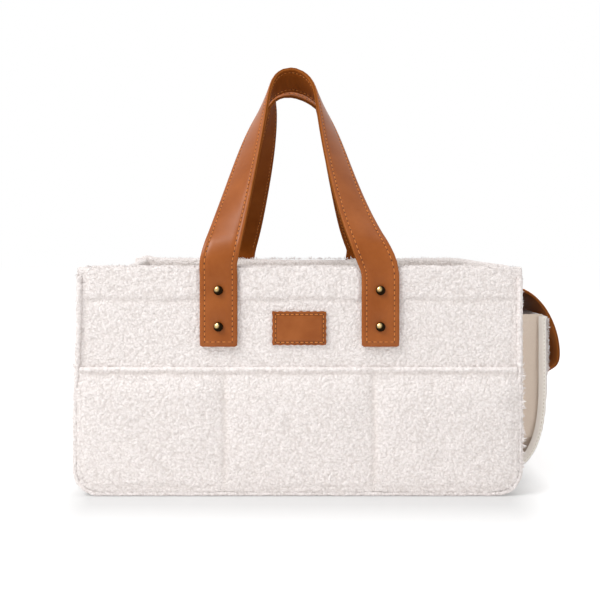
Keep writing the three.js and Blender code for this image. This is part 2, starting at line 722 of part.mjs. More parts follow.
function flapSheet() {
  const line = flapLine();
  const length = line.getLength();
  const point = (u, v, offset) => {
    const spot = offsetPoint(line, v, offset);
    const inwards = Math.max(FLAP_CORNER - (1 - v) * length, 0);
    const rounding = FLAP_CORNER - Math.sqrt(FLAP_CORNER ** 2 - inwards ** 2);
    const halfWidth = FLAP_WIDTH / 2 - FLAP_TAPER * v - rounding;
    return new THREE.Vector3(spot.x, (1 - 2 * u) * halfWidth, spot.y);
  };
  return sheetBetween(
    (u, v) => point(u, v, 0),
    (u, v) => point(u, v, -FLAP_THICKNESS),
    FLAP_COLUMNS,
    FLAP_STEPS,
  );
}

// Press stud on the pocket and its ring under the flap, both about the X axis
function snapPiece(profile, x, z) {
  const piece = turned(profile);
  piece.rotateZ(-Math.PI / 2);
  piece.translate(x, 0, z);
  return piece;
}

function sidePocket() {
  const pocket = new THREE.Group();
  const line = sidePocketLine();
  const rear = new THREE.Group();
  rear.scale.y = -1;
  addPiece(pocket, 'side_pocket_panel', sidePocketPanel(line), 'fleece');
  addPiece(pocket, 'side_pocket_gusset_front', sidePocketGusset(line), 'canvas');
  addPiece(rear, 'side_pocket_gusset_rear', sidePocketGusset(line), 'canvas');
  pocket.add(rear);

  const stripBottom = FLAP_HINGE_Z + FIT;
  const stripFace = END + FIT;
  const halfStrip = SEAM_STRIP_WIDTH / 2;
  const strip = block(
    stripFace, stripFace + FLAP_THICKNESS, -halfStrip, halfStrip, stripBottom, stripBottom + SEAM_STRIP_HEIGHT,
  );
  addPiece(pocket, 'flap_seam_strip', strip, 'leather');
  addPiece(pocket, 'side_flap', flapSheet(), 'leather');

  const snapHeight = POCKET_MOUTH - FLAP_TIP_DROP + FLAP_RUN / 2;
  const studSeat = POCKET_FACE + FIT;
  const stud = snapPiece([
    [0, 0],
    [SNAP_RADIUS, 0],
    [SNAP_RADIUS, STUD_BASE],
    [STUD_RADIUS, STUD_BASE],
    [STUD_RADIUS, STUD_BASE + STUD_RISE],
    [0, STUD_BASE + STUD_RISE],
  ], studSeat, snapHeight);
  const bore = STUD_RADIUS + SNAP_CLEARANCE;
  const ring = snapPiece([
    [bore, 0],
    [SNAP_RADIUS, 0],
    [SNAP_RADIUS, SOCKET_PLATE],
    [bore, SOCKET_PLATE],
    [bore, 0],
  ], studSeat + STUD_BASE + FIT, snapHeight);
  addPiece(pocket, 'pocket_snap_stud', stud, 'brass');
  addPiece(pocket, 'flap_snap_ring', ring, 'brass');
  return pocket;
}

// Upright divider with a tab at each end, held to the long sides by hook tape
function divider(name, x) {
  const group = new THREE.Group();
  const tapeTop = BODY_HEIGHT - TAPE_DROP;
  const tapeFoot = tapeTop - TAPE_HEIGHT;
  const hookFace = FRONT + FACING_IN + TAPE_THICKNESS + FIT;
  const tabFace = hookFace + TAPE_THICKNESS + FIT;
  const tabBack = tabFace + DIVIDER_TAB_THICKNESS;
  const halfTab = DIVIDER_TAB_WIDTH / 2;
  const top = BODY_HEIGHT - DIVIDER_DROP;
  const shape = panelOutline(-tabFace, -top, -(FLOOR + FIT), DIVIDER_CORNER);
  const panel = alongX(shape, -DIVIDER_THICKNESS / 2, DIVIDER_THICKNESS / 2);
  panel.rotateX(Math.PI);
  const frontTab = block(-halfTab, halfTab, tabFace, tabBack, tapeFoot, tapeTop);
  const backTab = block(-halfTab, halfTab, -tabBack, -tabFace, tapeFoot, tapeTop);
  const frontHook = block(-halfTab, halfTab, hookFace, hookFace + TAPE_THICKNESS, tapeFoot, tapeTop);
  const backHook = block(-halfTab, halfTab, -hookFace - TAPE_THICKNESS, -hookFace, tapeFoot, tapeTop);
  addPiece(group, `${name}`, join(panel, frontTab, backTab), 'lining');
  addPiece(group, `${name}_hook_tape_front`, frontHook, 'tape');
  addPiece(group, `${name}_hook_tape_back`, backHook, 'tape');
  group.position.x = x;
  return group;
}

const caddy = new THREE.Group();
const backSide = longSide('back', BACK_LOOP);
backSide.scale.y = -1;
caddy.add(longSide('front', FRONT_LOOP));
caddy.add(backSide);
caddy.add(bodyCore());
addPiece(caddy, 'front_patch', frontPatch(), 'leather');
caddy.add(sidePocket());
caddy.add(divider('divider_left', -DIVIDER_OFFSET));
caddy.add(divider('divider_right', DIVIDER_OFFSET));

export default caddy;
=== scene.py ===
"""Looks of an open fleece caddy: pile panels, leather handles, brass rivets, canvas and tapes."""

import logging
import math
from dataclasses import dataclass, field
from enum import Enum
from typing import Callable, Iterable, Sequence

import bpy
import numpy as np
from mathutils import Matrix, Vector


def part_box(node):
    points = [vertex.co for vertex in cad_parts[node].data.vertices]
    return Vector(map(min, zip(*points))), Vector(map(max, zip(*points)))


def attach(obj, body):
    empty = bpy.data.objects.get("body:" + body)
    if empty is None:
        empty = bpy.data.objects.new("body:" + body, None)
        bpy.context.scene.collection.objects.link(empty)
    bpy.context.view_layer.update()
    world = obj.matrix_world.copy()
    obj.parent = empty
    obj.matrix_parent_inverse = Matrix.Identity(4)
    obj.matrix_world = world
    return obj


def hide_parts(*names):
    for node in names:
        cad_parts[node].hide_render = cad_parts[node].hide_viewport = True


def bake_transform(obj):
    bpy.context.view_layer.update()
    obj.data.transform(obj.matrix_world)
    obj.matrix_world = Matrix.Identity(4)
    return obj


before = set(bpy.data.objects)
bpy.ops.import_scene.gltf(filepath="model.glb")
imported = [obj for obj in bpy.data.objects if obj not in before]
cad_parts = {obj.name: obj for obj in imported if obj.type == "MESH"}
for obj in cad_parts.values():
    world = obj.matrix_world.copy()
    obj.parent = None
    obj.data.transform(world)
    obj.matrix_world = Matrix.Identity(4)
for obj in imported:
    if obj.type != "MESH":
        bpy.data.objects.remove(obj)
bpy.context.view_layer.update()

LOG = logging.getLogger("caddy")

Array = np.ndarray
Colour = tuple[float, float, float, float]
Form = Callable[[Array], Array]
Piece = bpy.types.Object
Socket = bpy.types.NodeSocket
Sockets = bpy.types.bpy_prop_collection
Spot = Sequence[float]
Test = Callable[[Vector, Vector], bool]

MM = 0.001
TOUCH = 0.2 * MM
SQUARE = 0.9
HALF_TURN = math.pi
QUARTER_TURN = math.pi / 2
CREASE_ANGLE = 0.7
EDGE_ANGLE = 0.6
END_WALL = (160 * MM, 170 * MM)
LEFT_SAG = 6 * MM
LEFT_SPREAD = 3 * MM
SPREAD_RUN = (120 * MM, 185 * MM)
SPREAD_RISE = (60 * MM, 175 * MM)


class Side(Enum):
    """The two long sides; the value is the sign that turns the front's Y into the side's."""

    FRONT = 1
    BACK = -1

    @property
    def word(self) -> str:
        """The side's name in the frame."""
        return self.name.lower()


class Part(Enum):
    """Kinds of mesh element that an edit-mode tool acts on."""

    EDGES = "EDGE"
    FACES = "FACE"


def shade(*levels: int) -> Colour:
    """Gives the linear colour, with full alpha, of a screen colour's red, green and blue up to 255."""
    parts = (level / 255 for level in levels)
    return (*(part / 12.92 if part <= 0.04045 else ((part + 0.055) / 1.055) ** 2.4 for part in parts), 1.0)


def ramp(values: Array, start: float, end: float) -> Array:
    """Rises smoothly from 0 where the values reach start to 1 where they reach end."""
    share = np.clip((values - start) / (end - start), 0, 1)
    return share * share * (3 - 2 * share)


def ridge(values: Array, centre: float, width: float) -> Array:
    """Peaks at 1 over a centre and fades out over about a width to each side."""
    return np.exp(-(((values - centre) / width) ** 2))


def rows(*columns: Array) -> Array:
    """Sets columns of numbers side by side, a row for each point."""
    return np.stack(columns, axis=1)


def upright(plane: Array, y: Array) -> Array:
    """Stands points of a curve in X and Z up at places along Y."""
    return rows(plane[:, 0], y, plane[:, 1])


def corner_draw(distance: Array, radius: float) -> Array:
    """Tells how far a rounded corner draws an edge in, by the distance from the corner's end."""
    return radius - np.sqrt(np.maximum(radius**2 - np.maximum(radius - distance, 0) ** 2, 0))


def deselect() -> None:
    """Leaves edit mode and selects nothing."""
    active = bpy.context.object
    if active is not None and active.mode != "OBJECT":
        bpy.ops.object.mode_set(mode="OBJECT")
    bpy.ops.object.select_all(action="DESELECT")


def choose(piece: Piece) -> None:
    """Makes one piece the only selected and the active one.

    Args:
        piece: the piece to work on.
    """
    deselect()
    piece.select_set(True)
    bpy.context.view_layer.objects.active = piece


def claim(name: str) -> Piece:
    """Names the primitive just added and puts its place in its mesh.

    Args:
        name: the new piece's name.

    Returns:
        The new piece.
    """
    piece = bpy.context.object
    piece.name = name
    piece.data.name = name
    bpy.ops.object.transform_apply(location=True, rotation=True, scale=True)
    return piece


def add_block(name: str, low: Spot, high: Spot) -> Piece:
    """Adds a block between two corners.

    Args:
        name: the block's name.
        low: its lowest corner.
        high: its highest corner.

    Returns:
        The block.
    """
    deselect()
    middle = [(a + b) / 2 for a, b in zip(low, high)]
    size = [b - a for a, b in zip(low, high)]
    bpy.ops.mesh.primitive_cube_add(size=1, location=middle, scale=size)
    return claim(name)


def lay_grid(name: str, columns: int, lines: int, place: Callable[[Array, Array], Array]) -> Piece:
    """Adds a grid and lays it over a surface.

    Args:
        name: the piece's name.
        columns: faces along the surface's first run.
        lines: faces along its second run.
        place: gives the places of shares of the two runs.

    Returns:
        The laid grid.
    """
    deselect()
    bpy.ops.mesh.primitive_grid_add(
        x_subdivisions=columns, y_subdivisions=lines, size=1, location=(0.5, 0.5, 0)
    )
    piece = claim(name)
    first, second, _ = read_points(piece).T
    move_points(piece, place(first, second))
    return piece


def pick(piece: Piece, part: Part, test: Test) -> None:
    """Enters edit mode with the elements selected that pass a test.

    Args:
        piece: the piece to work on.
        part: the kind of element.
        test: takes an element's middle and its normal, or its direction for an edge.
    """
    choose(piece)
    bpy.ops.object.mode_set(mode="EDIT")
    bpy.ops.mesh.select_mode(type=part.value)
    bpy.ops.mesh.select_all(action="DESELECT")
    bpy.ops.object.mode_set(mode="OBJECT")
    mesh = piece.data
    if part is Part.FACES:
        for face in mesh.polygons:
            face.select = test(face.center, face.normal)
    else:
        for edge in mesh.edges:
            start, end = (mesh.vertices[index].co for index in edge.vertices)
            edge.select = test((start + end) / 2, (end - start).normalized())
    bpy.ops.object.mode_set(mode="EDIT")


def pick_all(piece: Piece) -> None:
    """Enters edit mode with the whole piece selected.

    Args:
        piece: the piece to work on.
    """
    choose(piece)
    bpy.ops.object.mode_set(mode="EDIT")
    bpy.ops.mesh.select_all(action="SELECT")


def leave() -> None:
    """Goes back to object mode."""
    bpy.ops.object.mode_set(mode="OBJECT")


def along_axis(axis: int, lowest: float = -math.inf, highest: float = math.inf) -> Test:
    """Makes a test for edges that run along an axis, between two heights."""
    return lambda middle, along: abs(along[axis]) > SQUARE and lowest < middle.z < highest


def round_edges(piece: Piece, radius: float, steps: int, test: Test) -> None:
    """Rounds the edges that pass a test.

    Args:
        piece: the piece to work on.
        radius: the rounding's size.
        steps: faces round the corner.
        test: takes an edge's middle and direction.
    """
    pick(piece, Part.EDGES, test)
    bpy.ops.mesh.bevel(offset=radius, segments=steps, affect="EDGES")
    leave()


def split(piece: Piece, *cuts: int) -> None:
    """Cuts a block into slices.

    Args:
        piece: the block.
        cuts: how many cuts along X, then Y, then Z.
    """
    for axis, count in enumerate(cuts):
        if count:
            pick(piece, Part.EDGES, along_axis(axis))
            bpy.ops.mesh.subdivide(number_cuts=count)
            leave()


def finish_with(piece: Piece, kind: str, **settings: object) -> None:
    """Adds a modifier, sets it and applies it.

    Args:
        piece: the piece to work on.
        kind: the modifier's type.
        settings: the modifier's own settings.
    """
    choose(piece)
    modifier = piece.modifiers.new(kind.lower(), kind)
    for name, value in settings.items():
        setattr(modifier, name, value)
    bpy.ops.object.modifier_apply(modifier=modifier.name)


def face_outwards(piece: Piece) -> None:
    """Turns all faces of a closed piece outwards and shades it smooth.

    Args:
        piece: the piece to work on.
    """
    pick_all(piece)
    bpy.ops.mesh.normals_make_consistent(inside=False)
    leave()
    bpy.ops.object.shade_smooth()


def join(name: str, pieces: Sequence[Piece]) -> Piece:
    """Joins pieces into the first one.

    Args:
        name: the joined piece's name.
        pieces: what is joined.

    Returns:
        The joined piece.
    """
    choose(pieces[0])
    for piece in pieces[1:]:
        piece.select_set(True)
    bpy.ops.object.join()
    return claim(name)


def read_points(piece: Piece) -> Array:
    """Reads a piece's points.

    Args:
        piece: the piece to read.

    Returns:
        One row of X, Y and Z for each point.
    """
    flat = np.empty(len(piece.data.vertices) * 3)
    piece.data.vertices.foreach_get("co", flat)
    return flat.reshape(-1, 3)


def read_normals(piece: Piece) -> Array:
    """Reads the directions that a piece's points face.

    Args:
        piece: the piece to read.

    Returns:
        One row for each point.
    """
    flat = np.empty(len(piece.data.vertices) * 3, dtype=np.float32)
    piece.data.vertex_normals.foreach_get("vector", flat)
    return flat.reshape(-1, 3).astype(float)


def move_points(piece: Piece, points: Array) -> None:
    """Puts a piece's points in new places, one row for each point."""
    piece.data.vertices.foreach_set("co", np.ascontiguousarray(points).ravel())
    piece.data.update()


def store(piece: Piece, **marks: Array) -> None:
    """Keeps numbers or vectors on the points for the piece's material.

    Args:
        piece: the piece to mark.
        marks: for each attribute, one number or one row of three for each point.
    """
    for name, values in marks.items():
        vector = values.ndim == 2
        mark = piece.data.attributes.new(name, "FLOAT_VECTOR" if vector else "FLOAT", "POINT")
        numbers = np.ascontiguousarray(values, dtype=np.float32).ravel()
        mark.data.foreach_set("vector" if vector else "value", numbers)


def weigh(piece: Piece, name: str, weights: Array, levels: int = 24) -> None:
    """Makes a vertex group from weights.

    Args:
        piece: the piece to mark.
        name: the group's name.
        weights: one share from 0 to 1 for each point.
        levels: how many steps the shares are rounded to.
    """
    group = piece.vertex_groups.new(name=name)
    steps = np.rint(np.clip(weights, 0, 1) * levels).astype(int)
    for step in range(levels + 1):
        members = np.flatnonzero(steps == step).tolist()
        if members:
            group.add(members, step / levels, "REPLACE")


def outline_inset(x: Array, z: Array, half_width: float, corner: float) -> Array:
    """Measures how far inside a panel's sides and rounded foot places across and up it lie."""
    side = half_width - np.abs(x)
    return np.where(
        np.maximum(side, z) < corner, corner - np.hypot(corner - side, corner - z), np.minimum(side, z)
    )


def outside(values: Array, low: float, high: float) -> Array:
    """Measures how far values lie outside a range, 0 within it."""
    return np.maximum(np.maximum(low - values, values - high), 0)


def mirror_to(side: Side, piece: Piece, points: Array) -> None:
    """Puts a piece made for the front on its own side.

    Args:
        side: the side it belongs to.
        piece: the piece.
        points: its points' places at the front.
    """
    move_points(piece, points * (1, side.value, 1))
    if side is Side.BACK:
        pick_all(piece)
        bpy.ops.mesh.flip_normals()
        leave()


def sway(run: Array, reach: float) -> Array:
    """Lets a sewn line wander by hand, as far as reach to each side."""
    return reach * (0.6 * np.sin(run * 74 + 1) + 0.4 * np.sin(run * 191 + 2))


def settle(points: Array) -> Array:
    """Lets the left end of the caddy spread a little towards its foot."""
    spread = LEFT_SPREAD * ramp(-points[:, 0], *SPREAD_RUN) * (1 - ramp(points[:, 2], *SPREAD_RISE))
    return points - rows(spread, 0 * spread, 0 * spread)


def left_drop(points: Array, half: float, start: float, end: float) -> Array:
    """Gives the left rim's drop over half of its span, growing from a start to an end height."""
    hang = 1 - np.minimum(np.abs(points[:, 1]) / half, 1) ** 2
    return LEFT_SAG * hang * ramp(-points[:, 0], *END_WALL) * ramp(points[:, 2], start, end)


class Track:
    """A plane curve of straight and cubic stretches, read by the distance along it."""

    def __init__(self, stretches: Sequence[Sequence[tuple[float, float]]], ease: float = 0) -> None:
        """Lays the stretches end to end.

        Args:
            stretches: two points for a straight stretch, four for a cubic one.
            ease: the length over which a turn is spread.
        """
        step = 0.25 * MM
        share = np.linspace(0, 1, 400)[:, None]
        lines = []
        for stretch in stretches:
            points = np.array(stretch, dtype=float)
            if len(points) == 2:
                lines.append(points[0] * (1 - share) + points[1] * share)
            else:
                start, pull, push, end = points
                first = start * (1 - share) ** 3 + 3 * pull * share * (1 - share) ** 2
                lines.append(first + 3 * push * share**2 * (1 - share) + end * share**3)
        line = np.concatenate(lines)
        gaps = np.hypot(*np.diff(line, axis=0).T)
        line = line[np.r_[True, gaps > 0]]
        run = np.r_[0, np.cumsum(np.hypot(*np.diff(line, axis=0).T))]
        self.length = float(run[-1])
        self.run = np.linspace(0, self.length, int(self.length / step) + 2)
        self.line = rows(*(np.interp(self.run, run, column) for column in line.T))
        turn = np.gradient(self.line, self.run, axis=0)
        window = int(ease / step) // 2 * 2 + 1
        wide = np.pad(turn, ((window // 2, window // 2), (0, 0)), mode="edge")
        kernel = np.ones(window) / window
        turn = rows(*(np.convolve(column, kernel, mode="valid") for column in wide.T))
        self.turn = turn / np.linalg.norm(turn, axis=1, keepdims=True)

    def at(self, distance: Array) -> Array:
        """Gives the places at distances along the curve."""
        return rows(*(np.interp(distance, self.run, column) for column in self.line.T))

    def heading(self, distance: Array) -> Array:
        """Gives the directions at distances along the curve."""
        return rows(*(np.interp(distance, self.run, column) for column in self.turn.T))

    def beside(self, distance: Array, offset: Array) -> Array:
        """Gives places at distances along the curve, offset to the left of its direction."""
        turn = self.heading(distance)
        return self.at(distance) + rows(-turn[:, 1], turn[:, 0]) * offset[:, None]


class Graph:
    """A node tree under construction."""

    def __init__(self, tree: bpy.types.NodeTree) -> None:
        """Empties a tree and takes it over."""
        self.tree = tree
        tree.nodes.clear()

    def add(self, kind: str, sockets: dict | None = None, **settings: object) -> bpy.types.Node:
        """Adds a node.

        Args:
            kind: the node's type.
            sockets: values or other nodes' outputs for its inputs, by name or number.
            settings: the node's own settings.

        Returns:
            The node.
        """
        node = self.tree.nodes.new(kind)
        for name, value in settings.items():
            setattr(node, name, value)
        for name, value in (sockets or {}).items():
            self.feed(node.inputs[name], value)
        return node

    def feed(self, socket: Socket, value: object) -> None:
        """Sets or links one input.

        Args:
            socket: the input.
            value: a value, or another node's output.
        """
        if isinstance(value, Socket):
            self.tree.links.new(value, socket)
        else:
            socket.default_value = value

    def noise(self, place: Socket, scale: object, detail: float = 2.0, twist: float = 0.0) -> Socket:
        """Gives a noise with so many lumps in a metre, finer layers and distortion."""
        sockets = {"Vector": place, "Scale": scale, "Detail": detail, "Distortion": twist}
        return self.add("ShaderNodeTexNoise", sockets).outputs[0]

    def math(self, operation: str, first: object, second: object = 0.0) -> Socket:
        """Gives the result of a sum on two values or outputs."""
        return self.add("ShaderNodeMath", {0: first, 1: second}, operation=operation).outputs[0]

    def spread(self, value: object, low: float, high: float, start: float = 0, end: float = 1) -> Socket:
        """Stretches a value so that low becomes start and high becomes end, and keeps it between them."""
        sockets = {0: value, 1: low, 2: high, 3: start, 4: end}
        return self.add("ShaderNodeMapRange", sockets).outputs[0]

    def mix(self, share: object, first: object, second: object) -> Socket:
        """Gives a mix of two colours, with a share of the second."""
        return self.add("ShaderNodeMix", {0: share, 6: first, 7: second}, data_type="RGBA").outputs[2]

    def mark(self, name: str, vector: bool = False) -> Socket:
        """Reads a number or a vector that was stored on the piece's points."""
        return self.add("ShaderNodeAttribute", attribute_name=name).outputs["Vector" if vector else "Fac"]

    def place(self) -> Socket:
        """Reads the piece's own coordinates."""
        return self.add("ShaderNodeTexCoord").outputs["Object"]

    def effect(self, effect: "Effect", sockets: dict) -> Sockets:
        """Places a shared effect and gives its outputs."""
        return self.add("ShaderNodeGroup", sockets, node_tree=effect.tree()).outputs

    def close(self, bump: tuple[Socket, float, float], **sockets: object) -> None:
        """Ends a material with a Principled shader.

        Args:
            bump: the height output, the strength and the depth in metres.
            sockets: the shader's inputs, with _ for a space.
        """
        named = {name.replace("_", " "): value for name, value in sockets.items()}
        height, strength, depth = bump
        relief = self.add("ShaderNodeBump", {"Height": height, "Strength": strength, "Distance": depth})
        shader = self.add("ShaderNodeBsdfPrincipled", {**named, "Normal": relief.outputs[0]})
        self.add("ShaderNodeOutputMaterial", {"Surface": shader.outputs[0]})


SOCKET_KINDS = {"Colour": "NodeSocketColor", "Place": "NodeSocketVector"}


@dataclass(frozen=True)
class Effect:
    """A node group that several finishes share, drawn at its first use."""

    name: str
    inputs: tuple[str, ...]
    outputs: tuple[str, ...]
    draw: Callable[[Graph, Sockets], dict[str, Socket]]

    def tree(self) -> bpy.types.NodeTree:
        """Gives the group; the last word of a socket's title tells its kind.

        Returns:
            The node group.
        """
        made = bpy.data.node_groups.get(self.name)
        if made:
            return made
        made = bpy.data.node_groups.new(self.name, "ShaderNodeTree")
        for way, titles in (("INPUT", self.inputs), ("OUTPUT", self.outputs)):
            for title in titles:
                kind = SOCKET_KINDS.get(title.split()[-1], "NodeSocketFloat")
                made.interface.new_socket(title, in_out=way, socket_type=kind)
        graph = Graph(made)
        drawn = self.draw(graph, graph.add("NodeGroupInput").outputs)
        graph.add("NodeGroupOutput", drawn)
        return made


def draw_pile(graph: Graph, given: Sockets) -> dict[str, Socket]:
    """Draws the curly pile: pale tip colour, painted shade in the low valleys between curls, and fine fibres.

    Args:
        graph: the group's graph.
        given: the group's inputs.

    Returns:
        The group's outputs.
    """
    place = given["Place"]
    swirl = graph.noise(place, 430.0, 2.0, 1.4)
    strands = graph.spread(graph.math("ABSOLUTE", graph.math("SUBTRACT", swirl, 0.5)), 0.0, 0.16, 0.5, 0.0)
    loops = graph.add("ShaderNodeTexVoronoi", {"Vector": place, "Scale": 470.0}).outputs["Distance"]
    fibres = graph.math("MULTIPLY", graph.noise(place, 1700.0), 0.3)
    domes = graph.spread(graph.math("MULTIPLY", loops, loops), 0.0, 0.6, 1.0, 0.0)
    height = graph.math("ADD", domes, graph.math("ADD", strands, fibres))
    lift = graph.math("MULTIPLY", given["Lift"], 0.28)
    # Painted shade: where the pile sits low, the colour mixes towards the darker valley shade colour.
    share = graph.spread(graph.math("ADD", lift, graph.math("MULTIPLY", height, 0.5)), 0.16, 0.85)
    pile = graph.mix(share, given["Root Colour"], given["Tip Colour"])
    # The seam mark mixes in the seam colour: painted shade in the seam grooves and hem lines, and a faint
    # duller tint on the flanges and lips.
    return {"Colour": graph.mix(given["Seam"], pile, given["Seam Colour"]), "Height": height}


def draw_grain(graph: Graph, given: Sockets) -> dict[str, Socket]:
    """Draws the leather: fine pebbles, soft mottling, pale cut edges and the dark ply colour, which is partly
    painted shade.

    Args:
        graph: the group's graph.
        given: the group's inputs.

    Returns:
        The group's outputs.
    """
    place = given["Place"]
    cells = graph.add("ShaderNodeTexVoronoi", {"Vector": place, "Scale": 1100.0}, feature="SMOOTH_F1")
    mottle = graph.noise(place, 38.0, 4.0)
    creases = graph.noise(place, 260.0, 3.0)
    share = graph.spread(graph.math("ADD", mottle, graph.math("MULTIPLY", creases, 0.25)), 0.45, 0.85)
    body = graph.mix(share, given["Dark Colour"], given["Light Colour"])
    edged = graph.mix(given["Edge"], body, given["Edge Colour"])
    cut = graph.math("MULTIPLY", given["Edge"], 0.25)
    raw = graph.math("MULTIPLY", given["Ply"], 1.1)
    dull = graph.math("ADD", graph.math("MULTIPLY", mottle, 0.2), graph.math("ADD", cut, raw))
    return {
        "Colour": graph.mix(given["Ply"], edged, given["Ply Colour"]),
        "Roughness": graph.math("MINIMUM", graph.math("ADD", dull, 0.28), 1.0),
        "Height": graph.math("SUBTRACT", graph.math("MULTIPLY", creases, 0.5), cells.outputs["Distance"]),
    }


def draw_weave(graph: Graph, given: Sockets) -> dict[str, Socket]:
    """Draws a plain weave: two sets of threads that pass over each other in turn.

    Args:
        graph: the group's graph.
        given: the group's inputs.

    Returns:
        The group's outputs.
    """
    place = given["Place"]
    sockets = {"Vector": place, "Scale": given["Waves"], "Distortion": 0.6, "Detail": 1.0}
    warp = graph.add("ShaderNodeTexWave", sockets, bands_direction="X").outputs["Fac"]
    weft = graph.add("ShaderNodeTexWave", sockets, bands_direction="Y").outputs["Fac"]
    checks = graph.add("ShaderNodeTexChecker", {"Vector": place, "Scale": given["Checks"]}).outputs["Fac"]
    over = graph.math("MULTIPLY", warp, checks)
    under = graph.math("MULTIPLY", weft, graph.math("SUBTRACT", 1.0, checks))
    height = graph.math("ADD", over, under)
    slubs = graph.noise(place, 700.0)
    share = graph.spread(graph.math("ADD", height, graph.math("MULTIPLY", slubs, 0.6)), 0.1, 1.0)
    return {"Colour": graph.mix(share, given["Gap Colour"], given["Thread Colour"]), "Height": height}


def draw_mottle(graph: Graph, given: Sockets) -> dict[str, Socket]:
    """Draws an uneven tone for metal, thread and board and gives the group's outputs."""
    tone = graph.noise(given["Place"], given["Scale"], 4.0)
    return {
        "Colour": graph.mix(graph.spread(tone, 0.3, 0.7), given["Dark Colour"], given["Light Colour"]),
        "Height": tone,
    }


PILE = Effect(
    "curly_pile",
    ("Place", "Lift", "Seam", "Tip Colour", "Root Colour", "Seam Colour"),
    ("Colour", "Height"),
    draw_pile,
)
GRAIN = Effect(
    "leather_grain",
    ("Place", "Light Colour", "Dark Colour", "Edge", "Edge Colour", "Ply", "Ply Colour"),
    ("Colour", "Roughness", "Height"),
    draw_grain,
)
WEAVE = Effect(
    "plain_weave",
    ("Place", "Waves", "Checks", "Thread Colour", "Gap Colour"),
    ("Colour", "Height"),
    draw_weave,
)
MOTTLE = Effect(
    "mottled_tone",
    ("Place", "Scale", "Light Colour", "Dark Colour"),
    ("Colour", "Height"),
    draw_mottle,
)


@dataclass(frozen=True)
class Finish:
    """A surface finish: its material's name and the record's slot."""

    name: str
    slot: str

    def draw(self, graph: Graph) -> None:
        """Draws the finish's nodes; each kind of finish has its own."""
        raise NotImplementedError

    def dress(self, piece: Piece) -> None:
        """Gives a piece this finish.

        Args:
            piece: the piece to dress.
        """
        made = bpy.data.materials.get(self.name)
        if made is None:
            made = bpy.data.materials.new(self.name)
            made.use_nodes = True
            self.draw(Graph(made.node_tree))
        piece.data.materials.clear()
        piece.data.materials.append(made)


@dataclass(frozen=True)
class PileFinish(Finish):
    """Curly fleece."""

    tip: Colour
    # Painted shade for the low valleys of the pile.
    root: Colour
    seam: Colour
    sheen: float = 0.15

    def draw(self, graph: Graph) -> None:
        """Draws the pile over the stored lift and seams.

        Args:
            graph: the material's graph.
        """
        colours = {"Tip Colour": self.tip, "Root Colour": self.root, "Seam Colour": self.seam}
        marks = {"Place": graph.place(), "Lift": graph.mark("pile"), "Seam": graph.mark("seam")}
        pile = graph.effect(PILE, {**marks, **colours})
        shine = {"Sheen_Weight": self.sheen, "Sheen_Roughness": 0.6, "Specular_IOR_Level": 0.15}
        graph.close((pile["Height"], 0.8, 0.9 * MM), Base_Color=pile["Colour"], Roughness=0.95, **shine)


@dataclass(frozen=True)
class LeatherFinish(Finish):
    """Smooth two-ply leather with pale cut edges and a waxed outer face."""

    light: Colour
    dark: Colour
    edge: Colour
    # The dark line between the plies, and painted shade on inner faces and under the flap.
    ply: Colour
    wax: float = 0.42

    def draw(self, graph: Graph) -> None:
        """Draws the grain along the flat cut of the piece.

        Args:
            graph: the material's graph.
        """
        body = {"Light Colour": self.light, "Dark Colour": self.dark}
        edges = {"Edge Colour": self.edge, "Ply Colour": self.ply}
        marks = {"Edge": graph.mark("edge"), "Ply": graph.mark("ply")}
        grain = graph.effect(GRAIN, {"Place": graph.mark("flat", vector=True), **body, **edges, **marks})
        graph.close(
            (grain["Height"], 0.25, 0.25 * MM),
            Base_Color=grain["Colour"],
            Roughness=grain["Roughness"],
            Specular_IOR_Level=0.04,
            Coat_Weight=graph.math("MULTIPLY", graph.mark("gloss"), self.wax),
            Coat_Roughness=0.3,
        )


@dataclass(frozen=True)
class WeaveFinish(Finish):
    """Woven cloth."""

    thread: Colour
    gap: Colour
    pitch: float
    flat: bool = False

    def draw(self, graph: Graph) -> None:
        """Draws the weave at its thread pitch.

        Args:
            graph: the material's graph.
        """
        place = graph.mark("flat", vector=True) if self.flat else graph.place()
        pitch = {"Waves": 2 * math.pi / (20 * self.pitch), "Checks": 1 / self.pitch}
        colours = {"Thread Colour": self.thread, "Gap Colour": self.gap}
        weave = graph.effect(WEAVE, {"Place": place, **pitch, **colours})
        shine = {"Roughness": 0.9, "Sheen_Weight": 0.1, "Specular_IOR_Level": 0.2}
        graph.close((weave["Height"], 0.5, 0.35 * MM), Base_Color=weave["Colour"], **shine)


@dataclass(frozen=True)
class MottleFinish(Finish):
    """Thread, tape, board or old brass: an uneven tone; on a cap, a painted highlight and painted shade where
    a shade colour is given.
    """

    light: Colour
    dark: Colour
    scale: float
    roughness: float = 0.8
    relief: float = 0.2
    metal: float = 0.0
    # Painted shade colour, mixed in over a cap away from its bright spot.
    rim: Colour | None = None

    def draw(self, graph: Graph) -> None:
        """Draws the uneven tone, and over it the painted shade that the stored rim mark places on a cap.

        Args:
            graph: the material's graph.
        """
        colours = {"Light Colour": self.light, "Dark Colour": self.dark}
        tone = graph.effect(MOTTLE, {"Place": graph.place(), "Scale": self.scale, **colours})
        # Painted highlight and shade: a cap keeps a bright spot and turns dark away from it.
        shown = graph.mix(graph.mark("rim"), tone["Colour"], self.rim) if self.rim else tone["Colour"]
        bump = (tone["Height"], self.relief, 0.3 * MM)
        graph.close(bump, Base_Color=shown, Metallic=self.metal, Roughness=self.roughness)


